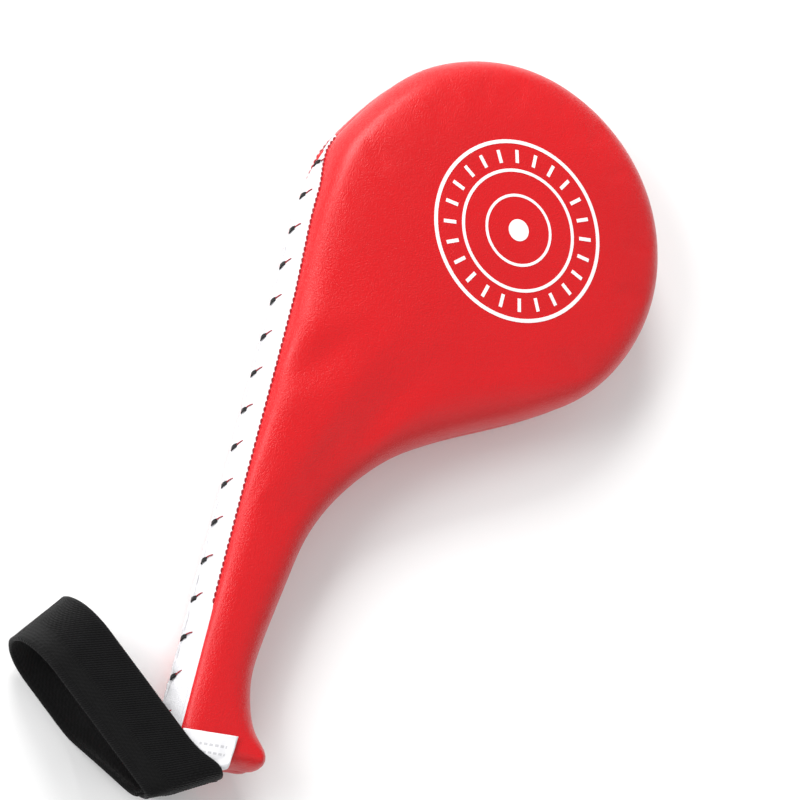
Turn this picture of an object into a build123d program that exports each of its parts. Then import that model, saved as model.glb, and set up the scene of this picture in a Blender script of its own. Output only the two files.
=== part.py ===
"""Kick paddle: a padded striking head on a slim handle, with an elastic wrist loop.

The paddle lies on its back. The origin is the centre of the round head on the flat
back face, +Y points from the handle to the tip of the head, +Z is up through the
striking face, and the laced edge with its white side strips is on -X.
"""
import math
import os

from build123d import *

os.makedirs("parts", exist_ok=True)

# --- Driving dimensions, millimetres and degrees -----------------------------------
HEAD_R = 87.8              # round outline of the striking head
HEAD_T = 44.0              # thickness of the head
HANDLE_T = 34.0            # thickness of the handle
MID_Z = HEAD_T / 2         # plane of the laced seam

SPINE_X = -102.0           # straight laced edge
CROWN_Y = -36.0            # where the laced edge starts to curve into the head
THROAT = (39.5, -204.0)    # centre of the hollow curve between head and handle
THROAT_R = 100.0
HANDLE_TAPER = 8.0         # lean of the handle's inner edge
WAIST_RUN = 54.0           # straight run of the inner edge down to the waist
FLARE_R = 40.0             # hollow curve that opens the butt
FLARE_TURN = 44.0
BUTT_SLOPE = 24.0          # the butt end is cut at this angle
BUTT_CORNER = (-102.0, -309.5)
TAIL = 70.0                # overlength that is trimmed off along the butt end

EDGE_R = 14.0              # rounding of the padded edges
BUTT_R = 3.0
NECK_START = -97.0         # the thickness steps down between these two
NECK_END = -177.0

COVER_T = 1.6              # coated fabric panels
FIT = 0.2                  # ease between the cover and what it holds
BORDER_H = 12.6            # white side strip, from the laced seam to the panel border
BAND_TOP = 18.0            # where the side strips run out on the head
THREAD_PROUD = 0.5
THREAD_W = 0.7

CORE_T = 3.0               # stiff board in the middle
CORE_HEAD_R = 72.0
TANG_W = 20.0
TANG_X = -83.0
TANG_END = -293.0
FIRM_T = 10.0              # firm layer on each side of the middle plane
HANDLE_START = -161.0      # the head's layers stop here and the grip starts

LACE_COUNT = 16
LACE_PITCH = 18.5
LACE_TOP = 0.9
LACE_R = 0.6
LACE_LEN = 5.0
TICK_R = 0.35
TICK_LEN = 4.0

PRINT_AT = (2.5, -1.0)     # middle of the printed target
PRINT_T = 0.25
RINGS = ((45.7, 43.8), (30.9, 29.3), (18.2, 16.8), (5.5, 0.0))
TICKS = 24
TICK_SPAN = (34.0, 40.6)
TICK_W = 1.8

STRAP_W = 30.0             # elastic webbing
STRAP_T = 2.0
STRAP_ROOT = (-91.5, -306.2)
STRAP_HEADING = 144.9      # direction in which the loop leaves the butt
STRAP_REACH = 95.0
STRAP_Z = (0.8, 43.2)
STRAP_FOLD = 5.0           # the loop stands this far past the butt end
END_T = 1.5                # sewn ends of the webbing
END_SPAN = (2.0, 30.0)     # where they sit along the butt end
END_LEG = 11.0
END_LIFT = 0.35
END_GAP = 0.3
TACK_T = 0.3               # box-and-cross stitching
TACK_W = 0.8

LABEL = (27.0, 21.0)         # care label sewn in at the butt
LABEL_AT = (-83.0, -288.5)
LABEL_TURN = 7.0
LABEL_T = 0.25


def polar(centre, radius, angle):
    """Point at an angle on a circle."""
    turn = math.radians(angle)
    return (centre[0] + radius * math.cos(turn), centre[1] + radius * math.sin(turn))


# --- Construction points of the outline --------------------------------------------
crown_r = (SPINE_X**2 + CROWN_Y**2 - HEAD_R**2) / (2 * (-SPINE_X - HEAD_R))
crown_c = (SPINE_X + crown_r, CROWN_Y)
crown_a = math.degrees(math.atan2(-crown_c[1], -crown_c[0]))

throat_gap = math.hypot(*THROAT)
shoulder_a = math.degrees(math.atan2(THROAT[1], THROAT[0]))
shoulder_a += math.degrees(math.acos((HEAD_R + THROAT_R) / throat_gap))
waist_a = 180 - HANDLE_TAPER
neck_pt = polar(THROAT, THROAT_R, waist_a)
waist_pt = polar(neck_pt, WAIST_RUN, 270 - HANDLE_TAPER)
flare_c = polar(waist_pt, FLARE_R, -HANDLE_TAPER)
flare_pt = polar(flare_c, FLARE_R, waist_a + FLARE_TURN)
tail_pt = polar(flare_pt, TAIL, 270 - HANDLE_TAPER + FLARE_TURN)

with BuildSketch() as outline:
    with BuildLine():
        CenterArc((0, 0), HEAD_R, shoulder_a, crown_a - shoulder_a)
        CenterArc(crown_c, crown_r, crown_a, 180 - crown_a)
        Polyline((SPINE_X, CROWN_Y), (SPINE_X, tail_pt[1]), tail_pt, flare_pt)
        CenterArc(flare_c, FLARE_R, waist_a, FLARE_TURN)
        Line(waist_pt, neck_pt)
        CenterArc(THROAT, THROAT_R, shoulder_a + 180, waist_a - shoulder_a - 180)
        Line(polar(THROAT, THROAT_R, shoulder_a + 180), polar((0, 0), HEAD_R, shoulder_a))
    make_face()


def side_profile(inset):
    """Side view of the padding: a flat head that steps down to a flat handle."""
    middle = (NECK_START + NECK_END) / 2
    with BuildSketch(Plane.YZ.offset(-200)) as profile:
        with BuildLine():
            for side in (1, -1):
                face = MID_Z + side * (HEAD_T / 2 - inset)
                grip = MID_Z + side * (HANDLE_T / 2 - inset)
                Polyline((120, MID_Z), (120, face), (NECK_START, face))
                Spline(
                    (NECK_START, face), (middle, (face + grip) / 2), (NECK_END, grip),
                    tangents=((-1, 0), (-1, 0)),
                )
                Polyline((NECK_END, grip), (-400, grip), (-400, MID_Z))
        make_face()
    return profile.sketch


def butt_plane(height):
    """Plane at a height whose X axis runs along the cut butt end."""
    slope = math.radians(BUTT_SLOPE)
    return Plane(
        origin=(BUTT_CORNER[0], BUTT_CORNER[1], height),
        x_dir=(math.cos(slope), math.sin(slope), 0),
        z_dir=(0, 0, 1),
    )


def padded_form(inset):
    """Whole padded shape, drawn in by an inset on every side."""
    with BuildPart(mode=Mode.PRIVATE) as form:
        with BuildSketch(Plane.XY.offset(-5)):
            add(outline.sketch)
            offset(amount=-inset, kind=Kind.INTERSECTION)
        extrude(amount=HEAD_T + 10)
        add(extrude(side_profile(inset), amount=400, mode=Mode.PRIVATE), mode=Mode.INTERSECT)
        rims = form.edges().filter_by(
            lambda e: abs(e.center().Z - MID_Z) > 8 and e.center().Y > tail_pt[1] + inset + 1
        )
        fillet(rims, EDGE_R - inset)
        with BuildSketch(butt_plane(-5)):
            with Locations((0, inset)):
                Rectangle(300, 200, align=(Align.CENTER, Align.MAX))
        extrude(amount=HEAD_T + 10, mode=Mode.SUBTRACT)
        end = form.faces().sort_by(Axis.Y)[0]
        fillet(end.edges(), max(BUTT_R - inset, 1.0))
    return form.part


def slab(low, high, y_low=-400, y_high=120, x_high=120):
    """Block that spans the paddle between two heights."""
    size = (x_high + 120, y_high - y_low, high - low)
    corner = (Align.MIN, Align.MIN, Align.MIN)
    return Pos(-120, y_low, low) * Box(*size, align=corner, mode=Mode.PRIVATE)


def side_strip_zone(side, grow=0.0):
    """Space on the laced edge that one white side strip takes."""
    border = MID_Z + side * (BORDER_H + grow)
    shoulder = MID_Z + side * (BORDER_H * 0.72 + grow)
    with BuildSketch(Plane.YZ.offset(-120)) as zone:
        with BuildLine():
            Polyline(
                (-400, MID_Z), (-400, border), (-70, border),
                (-10, shoulder), (BAND_TOP + grow, MID_Z), (-400, MID_Z),
            )
        make_face()
    return extrude(zone.sketch, amount=32, mode=Mode.PRIVATE)


outer = padded_form(0)
lining = padded_form(COVER_T)
filling = padded_form(COVER_T + FIT)
proud = padded_form(-THREAD_PROUD)
shell = outer - lining
halves = {1: slab(MID_Z, 100), -1: slab(-100, MID_Z)}
strips = {side: side_strip_zone(side) for side in (1, -1)}


# --- Cover: striking panel, back panel and the two white side strips ---------------
with BuildPart() as front_cover:
    add(shell & halves[1])
    add(strips[1], mode=Mode.SUBTRACT)
front_cover.part.label = "front_cover"
export_step(front_cover.part, "parts/front_cover.step")

with BuildPart() as back_cover:
    add(shell & halves[-1])
    add(strips[-1], mode=Mode.SUBTRACT)
back_cover.part.label = "back_cover"
export_step(back_cover.part, "parts/back_cover.step")

with BuildPart() as front_side_strip:
    add(shell & strips[1])
front_side_strip.part.label = "front_side_strip"
export_step(front_side_strip.part, "parts/front_side_strip.step")

with BuildPart() as back_side_strip:
    add(shell & strips[-1])
back_side_strip.part.label = "back_side_strip"
export_step(back_side_strip.part, "parts/back_side_strip.step")


# --- Filling: stiff board, firm layers, soft pads and grip foam --------------------
with BuildPart() as core_board:
    with BuildSketch(Plane.XY.offset(MID_Z - CORE_T / 2)):
        Circle(CORE_HEAD_R)
        with Locations((TANG_X, TANG_END)):
            Rectangle(TANG_W, -TANG_END - 40, align=(Align.CENTER, Align.MIN))
        with BuildLine():
            Polyline(
                polar((0, 0), CORE_HEAD_R, -150), polar((0, 0), CORE_HEAD_R, -75),
                (TANG_X + TANG_W / 2, -178), (TANG_X - TANG_W / 2, -178),
                (TANG_X - TANG_W / 2, -60), polar((0, 0), CORE_HEAD_R, -150),
            )
        make_face()
    extrude(amount=CORE_T)
core_board.part.label = "core_board"
export_step(core_board.part, "parts/core_board.step")

with BuildPart() as front_firm_layer:
    add(filling & slab(MID_Z, MID_Z + FIRM_T, HANDLE_START))
    add(core_board.part, mode=Mode.SUBTRACT)
front_firm_layer.part.label = "front_firm_layer"
export_step(front_firm_layer.part, "parts/front_firm_layer.step")

with BuildPart() as back_firm_layer:
    add(filling & slab(MID_Z - FIRM_T, MID_Z, HANDLE_START))
    add(core_board.part, mode=Mode.SUBTRACT)
back_firm_layer.part.label = "back_firm_layer"
export_step(back_firm_layer.part, "parts/back_firm_layer.step")

with BuildPart() as front_soft_pad:
    add(filling & slab(MID_Z + FIRM_T, 100, HANDLE_START))
front_soft_pad.part.label = "front_soft_pad"
export_step(front_soft_pad.part, "parts/front_soft_pad.step")

with BuildPart() as back_soft_pad:
    add(filling & slab(-100, MID_Z - FIRM_T, HANDLE_START))
back_soft_pad.part.label = "back_soft_pad"
export_step(back_soft_pad.part, "parts/back_soft_pad.step")

with BuildPart() as front_grip_foam:
    add(filling & slab(MID_Z, 100, -400, HANDLE_START))
    add(core_board.part, mode=Mode.SUBTRACT)
front_grip_foam.part.label = "front_grip_foam"
export_step(front_grip_foam.part, "parts/front_grip_foam.step")

with BuildPart() as back_grip_foam:
    add(filling & slab(-100, MID_Z, -400, HANDLE_START))
    add(core_board.part, mode=Mode.SUBTRACT)
back_grip_foam.part.label = "back_grip_foam"
export_step(back_grip_foam.part, "parts/back_grip_foam.step")


# --- Thread: panel seams along the side strips and the black lacing ----------------
thread_skin = proud - outer
with BuildPart() as front_seam_thread:
    add(thread_skin & side_strip_zone(1, THREAD_W) & slab(MID_Z + 1, 100, -297))
    add(strips[1], mode=Mode.SUBTRACT)
front_seam_thread.part.label = "front_seam_thread"
export_step(front_seam_thread.part, "parts/front_seam_thread.step")

with BuildPart() as back_seam_thread:
    add(thread_skin & side_strip_zone(-1, THREAD_W) & slab(-100, MID_Z - 1, -297))
    add(strips[-1], mode=Mode.SUBTRACT)
back_seam_thread.part.label = "back_seam_thread"
export_step(back_seam_thread.part, "parts/back_seam_thread.step")

lace_spots = []
for index in range(LACE_COUNT):
    y = LACE_TOP - index * LACE_PITCH
    rise = max(y - CROWN_Y, 0)
    lace_spots.append((crown_c[0] - math.sqrt(crown_r**2 - rise**2), y))

with BuildPart() as closure_lacing:
    for x, y in lace_spots:
        with Locations((x - LACE_R - 0.02, y, MID_Z)):
            Cylinder(LACE_R, LACE_LEN)
closure_lacing.part.label = "closure_lacing"
export_step(closure_lacing.part, "parts/closure_lacing.step")

with BuildPart() as closure_ticks:
    for x, y in lace_spots:
        with Locations(Location((x - TICK_R - 0.05, y + 2.4, MID_Z + 4.4), (-38, 0, 0))):
            Cylinder(TICK_R, TICK_LEN)
closure_ticks.part.label = "closure_ticks"
export_step(closure_ticks.part, "parts/closure_ticks.step")


# --- Printed target: rings and ticks on the striking face --------------------------
with BuildPart() as target_print:
    with BuildSketch(Plane((*PRINT_AT, HEAD_T))):
        for ring_out, ring_in in RINGS:
            Circle(ring_out)
            if ring_in:
                Circle(ring_in, mode=Mode.SUBTRACT)
        with PolarLocations(sum(TICK_SPAN) / 2, TICKS):
            Rectangle(TICK_SPAN[1] - TICK_SPAN[0], TICK_W)
    extrude(amount=PRINT_T)
target_print.part.label = "target_print"
export_step(target_print.part, "parts/target_print.step")

with BuildPart() as closure_tongue:
    add(thread_skin & slab(MID_Z - 1.2, MID_Z + 1.2, LACE_TOP + 2.5, BAND_TOP - 4, -80))
closure_tongue.part.label = "closure_tongue"
export_step(closure_tongue.part, "parts/closure_tongue.step")


# --- Care label and the sewn ends of the wrist loop at the butt --------------------
grip_top = MID_Z + HANDLE_T / 2
with BuildPart() as care_label:
    with BuildSketch(Plane.XY.offset(grip_top + 0.03)):
        with Locations(Location((*LABEL_AT, 0), (0, 0, LABEL_TURN))):
            Rectangle(*LABEL)
    extrude(amount=LABEL_T)
    with BuildSketch(butt_plane(grip_top - 1)):
        with Locations((0, 0.6)):
            Rectangle(300, 60, align=(Align.CENTER, Align.MAX))
    extrude(amount=3, mode=Mode.SUBTRACT)
care_label.part.label = "care_label"
export_step(care_label.part, "parts/care_label.step")


def butt_section(along):
    """Plane across the butt end: X points out of the end, Y points up."""
    base = butt_plane(0)
    return Plane(
        origin=base.origin + base.x_dir * along,
        x_dir=base.y_dir * -1,
        z_dir=base.x_dir * -1,
    )


def sewn_end(side):
    """One webbing end: a short leg on the face and a leg down the butt end."""
    low = MID_Z + side * (HANDLE_T / 2 + END_LIFT)
    high = low + side * END_T
    seam = MID_Z + side * END_GAP
    with BuildSketch(butt_section(END_SPAN[1])) as profile:
        with BuildLine():
            Polyline(
                (-END_LEG, low), (-END_LEG, high), (END_GAP + END_T, high),
                (END_GAP + END_T, seam), (END_GAP, seam), (END_GAP, low), (-END_LEG, low),
            )
        make_face()
    return extrude(profile.sketch, amount=END_SPAN[1] - END_SPAN[0], mode=Mode.PRIVATE)


with BuildPart() as strap_end_front:
    add(sewn_end(1))
strap_end_front.part.label = "strap_end_front"
export_step(strap_end_front.part, "parts/strap_end_front.step")

with BuildPart() as strap_end_back:
    add(sewn_end(-1))
strap_end_back.part.label = "strap_end_back"
export_step(strap_end_back.part, "parts/strap_end_back.step")

base = butt_plane(MID_Z)
tack_plane = Plane(
    origin=base.origin + base.x_dir * sum(END_SPAN) / 2 - base.y_dir * (END_GAP + END_T),
    x_dir=base.x_dir,
    z_dir=base.y_dir * -1,
)
with BuildPart() as strap_tack_thread:
    with BuildSketch(tack_plane):
        for side in (1, -1):
            with Locations((0, side * 9)):
                Rectangle(24, 12)
                Rectangle(24 - 2 * TACK_W, 12 - 2 * TACK_W, mode=Mode.SUBTRACT)
                Rectangle(24, TACK_W, rotation=26)
                Rectangle(24, TACK_W, rotation=-26)
    extrude(amount=TACK_T)
strap_tack_thread.part.label = "strap_tack_thread"
export_step(strap_tack_thread.part, "parts/strap_tack_thread.step")


# --- Wrist loop: one band of webbing that straddles the butt -----------------------
heading = math.radians(STRAP_HEADING)
band_plane = Plane(
    origin=(*STRAP_ROOT, 0),
    x_dir=(math.cos(heading), math.sin(heading), 0),
    z_dir=(math.sin(heading), -math.cos(heading), 0),
)
low, high = STRAP_Z
bend_t = STRAP_REACH - (high - low) / 2
with BuildPart() as wrist_strap:
    with BuildSketch(band_plane):
        with BuildLine():
            Line((-15, low), (bend_t, low))
            ThreePointArc((bend_t, low), (STRAP_REACH, MID_Z), (bend_t, high))
            Polyline((bend_t, high), (-15, high), (-15, high - STRAP_T), (bend_t, high - STRAP_T))
            ThreePointArc(
                (bend_t, high - STRAP_T), (STRAP_REACH - STRAP_T, MID_Z), (bend_t, low + STRAP_T)
            )
            Polyline((bend_t, low + STRAP_T), (-15, low + STRAP_T), (-15, low))
        make_face()
    extrude(amount=STRAP_W / 2, both=True)
    with BuildSketch(butt_plane(-5)):
        with Locations((0, -STRAP_FOLD)):
            Rectangle(200, 60, align=(Align.CENTER, Align.MAX))
    extrude(amount=HEAD_T + 10, mode=Mode.SUBTRACT)
wrist_strap.part.label = "wrist_strap"
export_step(wrist_strap.part, "parts/wrist_strap.step")
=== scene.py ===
"""Kick paddle: padded striking head and handle, laced white edge, printed target and elastic wrist band.

Lengths in the classes are millimetres in the part's own frame: the origin is the centre
of the round head on the floor, +Y points to the tip of the head, +Z up through the
striking face, and the laced edge is on -X. Meshes are made in metres.
"""

import logging
import math
from dataclasses import dataclass, field
from enum import Enum

import bmesh
import bpy
import numpy as np
from mathutils import Matrix, Vector, geometry, noise
from mathutils.bvhtree import BVHTree


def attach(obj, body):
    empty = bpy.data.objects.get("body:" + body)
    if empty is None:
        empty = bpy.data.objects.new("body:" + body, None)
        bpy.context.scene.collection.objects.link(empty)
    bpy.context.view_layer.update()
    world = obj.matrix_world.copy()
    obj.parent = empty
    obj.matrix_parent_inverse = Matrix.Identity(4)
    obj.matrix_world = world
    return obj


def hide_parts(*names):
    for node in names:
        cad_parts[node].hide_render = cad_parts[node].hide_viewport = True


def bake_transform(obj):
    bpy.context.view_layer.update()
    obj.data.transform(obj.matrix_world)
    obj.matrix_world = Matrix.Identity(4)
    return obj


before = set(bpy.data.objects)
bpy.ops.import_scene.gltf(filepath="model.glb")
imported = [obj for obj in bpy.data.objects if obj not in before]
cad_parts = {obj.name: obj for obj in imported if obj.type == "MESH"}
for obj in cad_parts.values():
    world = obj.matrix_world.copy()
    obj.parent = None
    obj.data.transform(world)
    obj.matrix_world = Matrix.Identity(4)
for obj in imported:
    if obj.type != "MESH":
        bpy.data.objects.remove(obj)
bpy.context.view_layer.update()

LOG = logging.getLogger("kick_paddle")
MM = 0.001
Array = np.ndarray
Point = tuple[float, float]
Colour = tuple[float, float, float]
Shade = tuple[float, float, float, float]
Faces = list[tuple[int, ...]]
Node = bpy.types.Node
Socket = bpy.types.NodeSocket
Object = bpy.types.Object


class Side(Enum):
    """Half of the paddle: the striking side or the side that lies on the floor."""

    FRONT = 1
    BACK = -1


class Body(Enum):
    """Moving parts of the paddle."""

    PADDLE = "paddle"
    LOOP = "wrist_loop"


# --- Small tools ---------------------------------------------------------------------
def arc(centre: Point, radius: float, start: float, end: float) -> Array:
    """Points along an arc.

    Args:
        centre: middle of the circle.
        radius: radius of the circle.
        start: first angle in degrees.
        end: last angle in degrees.

    Returns:
        Points about 0.3 mm apart.
    """
    count = max(3, int(abs(math.radians(end - start)) * radius / 0.3))
    turns = np.radians(np.linspace(start, end, count))
    return np.stack([centre[0] + radius * np.cos(turns), centre[1] + radius * np.sin(turns)], axis=1)


def polar(centre: Point, radius: float, angle: float) -> Point:
    """Point at an angle in degrees on a circle."""
    turn = math.radians(angle)
    return (centre[0] + radius * math.cos(turn), centre[1] + radius * math.sin(turn))


def run_lengths(line: Array) -> Array:
    """Distance along a line from its first point to each of its points."""
    return np.concatenate([[0.0], np.cumsum(np.linalg.norm(np.diff(line, axis=0), axis=1))])


def resampled(marks: Array, along: Array, line: Array) -> Array:
    """Points of a line at given distances along it."""
    return np.stack([np.interp(marks, along, line[:, k]) for k in range(line.shape[1])], axis=1)


def spaced(points: Array, step: float, closed: bool) -> Array:
    """Even spacing along a line.

    Args:
        points: the line's points, in two or three dimensions.
        step: distance wanted between points.
        closed: whether the line returns to its first point.

    Returns:
        Points the same distance apart along the same line.
    """
    line = np.vstack([points, points[:1]]) if closed else points
    runs = np.linalg.norm(np.diff(line, axis=0), axis=1)
    line = line[np.concatenate([[True], runs > 1e-6])]
    along = run_lengths(line)
    count = max(2, int(round(along[-1] / step)))
    marks = np.linspace(0, along[-1], count + 1)
    if closed:
        marks = marks[:-1]
    return resampled(marks, along, line)


def softened(values: Array, reach: int, closed: bool = True) -> Array:
    """Running bell-shaped average.

    Args:
        values: one value or row of values per place.
        reach: half width of the average, in places.
        closed: whether the last place meets the first.

    Returns:
        The averaged values.
    """
    steps = np.arange(-2 * reach, 2 * reach + 1)
    bell = np.exp(-0.5 * (steps / max(reach, 1)) ** 2)
    bell /= bell.sum()
    total = np.zeros_like(values, dtype=float)
    places = np.arange(len(values))
    for step, share in zip(steps, bell):
        spots = (places + step) % len(values) if closed else np.clip(places + step, 0, len(values) - 1)
        total += share * values[spots]
    return total


def eased(value: Array | float) -> Array | float:
    """Smooth rise from 0 to 1 as the value goes from 0 to 1."""
    held = np.clip(value, 0.0, 1.0)
    return held * held * (3 - 2 * held)


def inside(points: Array, loop: Array) -> Array:
    """Which points lie inside a closed loop, as true or false for each."""
    found = np.zeros(len(points), bool)
    for (x1, y1), (x2, y2) in zip(loop, np.roll(loop, -1, axis=0)):
        if y1 == y2:
            continue
        crosses = (points[:, 1] < y1) != (points[:, 1] < y2)
        found ^= crosses & (points[:, 0] < (x2 - x1) * (points[:, 1] - y1) / (y2 - y1) + x1)
    return found


def nearest(points: Array, loop: Array) -> Array:
    """Distance in the plane from each point to the closest of a loop's points."""
    return np.concatenate([
        np.sqrt(((part[:, None, :2] - loop[None, :, :2]) ** 2).sum(axis=2)).min(axis=1)
        for part in np.array_split(points, max(1, len(points) // 500))
    ])


def grid_faces(rows: int, columns: int, closed: bool, flipped: bool = False) -> Faces:
    """Quads over a grid of points stored row by row.

    Args:
        rows: number of rows.
        columns: number of points in each row.
        closed: whether each row's last point meets its first.
        flipped: whether the faces turn the other way.

    Returns:
        Corner numbers of each quad.
    """
    faces = []
    for row in range(rows - 1):
        for column in range(columns if closed else columns - 1):
            right = (column + 1) % columns
            low, high = row * columns, (row + 1) * columns
            quad = (low + column, low + right, high + right, high + column)
            faces.append(quad[::-1] if flipped else quad)
    return faces


def add_object(name: str, data: bpy.types.ID) -> Object:
    """New object in the scene, at the origin, that shows a mesh, light or camera."""
    made = bpy.data.objects.new(name, data)
    bpy.context.scene.collection.objects.link(made)
    return made


def make_piece(name: str, points: Array, faces: Faces) -> Object:
    """New smooth mesh object from points in millimetres.

    Args:
        name: the piece's name.
        points: corner points.
        faces: corner numbers of each face.

    Returns:
        The object, at the origin.
    """
    mesh = bpy.data.meshes.new(name)
    mesh.from_pydata((np.asarray(points, float) * MM).tolist(), [], faces)
    mesh.validate()
    mesh.shade_smooth()
    return add_object(name, mesh)


def store(piece: Object, name: str, values: Array) -> None:
    """Keeps one number per point on a piece under a name."""
    layer = piece.data.attributes.new(name, "FLOAT", "POINT")
    layer.data.foreach_set("value", np.asarray(values, np.float32))


def settle(piece: Object, finish: "Finish", body: Body, slot: str, *nodes: str) -> Object:
    """Dresses a piece, lets it ride on a body and stand for its frame nodes.

    Args:
        piece: the finished mesh object.
        finish: what it is made of.
        body: the body that it moves with.
        slot: not used.
        *nodes: frame nodes that the piece stands for.

    Returns:
        The same piece.
    """
    piece.data.materials.clear()
    piece.data.materials.append(finish.material())
    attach(piece, body.value)
    if nodes:
        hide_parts(*nodes)
    LOG.info("%s: %d faces", piece.name, len(piece.data.polygons))
    return piece


# --- Shader building -------------------------------------------------------------------
@dataclass
class Wiring:
    """Short way to add and join the nodes of one tree."""

    tree: bpy.types.NodeTree

    def add(self, kind: str, **settings: object) -> Node:
        """Adds a node; its settings are properties, or with a leading i_ its inputs' defaults."""
        made = self.tree.nodes.new(kind)
        for name, value in settings.items():
            if name.startswith("i_"):
                label = name[2:].replace("_", " ")
                spot = int(label) if label.isdigit() else label
                made.inputs[spot].default_value = value
            else:
                setattr(made, name, value)
        return made

    def join(self, source: Socket, target: Socket) -> None:
        """Links one socket to another."""
        self.tree.links.new(source, target)

    def maths(self, operation: str, first: object, second: object = 0.0, third: object = 0.0) -> Socket:
        """Maths node whose inputs are sockets or numbers.

        Args:
            operation: the node's operation.
            first: first input.
            second: second input.
            third: third input.

        Returns:
            The result's socket.
        """
        made = self.add("ShaderNodeMath", operation=operation)
        for place, value in enumerate((first, second, third)):
            if isinstance(value, Socket):
                self.join(value, made.inputs[place])
            else:
                made.inputs[place].default_value = value
        return made.outputs[0]

    def ramp(self, source: Socket, low: float, high: float) -> Socket:
        """Maps low..high of a value onto 0..1, held at both ends."""
        made = self.add("ShaderNodeMapRange", clamp=True)
        made.inputs["From Min"].default_value = low
        made.inputs["From Max"].default_value = high
        self.join(source, made.inputs["Value"])
        return made.outputs["Result"]

    def wave(self, turn: Socket) -> Socket:
        """Sine of an angle, brought to 0..1."""
        return self.maths("MULTIPLY_ADD", self.maths("SINE", turn), 0.5, 0.5)

    def blend(self, share: object, first: object, second: object) -> Socket:
        """Mixes two colours.

        Args:
            share: how much of the second colour, as a socket or number.
            first: colour or socket at 0.
            second: colour or socket at 1.

        Returns:
            The mixed colour's socket.
        """
        made = self.add("ShaderNodeMix", data_type="RGBA")
        for spot, value in ((0, share), (6, first), (7, second)):
            if isinstance(value, Socket):
                self.join(value, made.inputs[spot])
            else:
                made.inputs[spot].default_value = value
        return made.outputs[2]


@dataclass
class EffectGroup:
    """Shared shader effect: a node group with named inputs and outputs."""

    name: str
    inputs: tuple[tuple[str, float], ...]
    outputs: tuple[str, ...]

    def tree(self) -> bpy.types.NodeTree:
        """The effect's node group, built on first use."""
        found = bpy.data.node_groups.get(self.name)
        if found:
            return found
        made = bpy.data.node_groups.new(self.name, "ShaderNodeTree")
        made.interface.new_socket(name="Vector", in_out="INPUT", socket_type="NodeSocketVector")
        for label, value in self.inputs:
            socket = made.interface.new_socket(name=label, in_out="INPUT", socket_type="NodeSocketFloat")
            socket.default_value = value
        for label in self.outputs:
            made.interface.new_socket(name=label, in_out="OUTPUT", socket_type="NodeSocketFloat")
        wiring = Wiring(made)
        self.fill(wiring, wiring.add("NodeGroupInput"), wiring.add("NodeGroupOutput"))
        return made

    def fill(self, wiring: Wiring, source: Node, result: Node) -> None:
        """Adds the nodes between the group's inputs and outputs."""
        raise NotImplementedError

    def place(self, wiring: Wiring, vector: Socket, **values: float) -> Node:
        """Puts the effect in a material.

        Args:
            wiring: the material's nodes.
            vector: where the pattern is read.
            **values: values of the named inputs.

        Returns:
            The group node.
        """
        made = wiring.add("ShaderNodeGroup", node_tree=self.tree())
        wiring.join(vector, made.inputs["Vector"])
        for label, value in values.items():
            made.inputs[label].default_value = value
        return made


class PressedGrain(EffectGroup):
    """Fine pebbled grain pressed into coated fabric."""

    def fill(self, wiring: Wiring, source: Node, result: Node) -> None:
        """Cells for the pebbles with finer noise in their valleys."""
        cells = wiring.add("ShaderNodeTexVoronoi", feature="SMOOTH_F1", i_Smoothness=0.6)
        pores = wiring.add("ShaderNodeTexNoise", i_Detail=3.0, i_Roughness=0.6)
        fine = wiring.maths("MULTIPLY", source.outputs["Scale"], 2.3)
        for made, scale in ((cells, source.outputs["Scale"]), (pores, fine)):
            wiring.join(source.outputs["Vector"], made.inputs["Vector"])
            wiring.join(scale, made.inputs["Scale"])
        domes = wiring.maths("SUBTRACT", 1.0, cells.outputs["Distance"])
        height = wiring.maths("MULTIPLY_ADD", pores.outputs["Fac"], source.outputs["Pores"], domes)
        wiring.join(height, result.inputs["Height"])
        wiring.join(wiring.ramp(height, 0.55, 1.15), result.inputs["Mask"])


class SlowDrift(EffectGroup):
    """Broad, slow change over a surface, for uneven dye and handling marks."""

    def fill(self, wiring: Wiring, source: Node, result: Node) -> None:
        """One wide noise and one finer, patchy noise."""
        for label, factor, detail in (("Broad", 1.0, 1.5), ("Patchy", 5.3, 5.0)):
            made = wiring.add("ShaderNodeTexNoise", i_Detail=detail, i_Roughness=0.55)
            wiring.join(source.outputs["Vector"], made.inputs["Vector"])
            wiring.join(wiring.maths("MULTIPLY", source.outputs["Scale"], factor), made.inputs["Scale"])
            wiring.join(wiring.ramp(made.outputs["Fac"], 0.3, 0.7), result.inputs[label])


class SeamShade(EffectGroup):
    """Painted shade: a darker band beside a seam, from the distance kept on the piece."""

    def fill(self, wiring: Wiring, source: Node, result: Node) -> None:
        """Painted shade that falls off away from the seam, broken up by noise."""
        gap = wiring.add("ShaderNodeAttribute", attribute_type="GEOMETRY", attribute_name="seam_gap")
        near = wiring.maths("DIVIDE", gap.outputs["Fac"], source.outputs["Reach"])
        band = wiring.maths("SUBTRACT", 1.0, wiring.ramp(near, 0.0, 1.0))
        spots = wiring.add("ShaderNodeTexNoise", i_Scale=260.0, i_Detail=6.0, i_Roughness=0.7)
        wiring.join(source.outputs["Vector"], spots.inputs["Vector"])
        broken = wiring.maths("MULTIPLY", band, wiring.ramp(spots.outputs["Fac"], 0.35, 0.65))
        # Band is the closeness to the seam; the second output is the share of painted shade beside the seam,
        # broken up by noise.
        wiring.join(band, result.inputs["Band"])
        wiring.join(broken, result.inputs["PaintedShade"])


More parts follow.
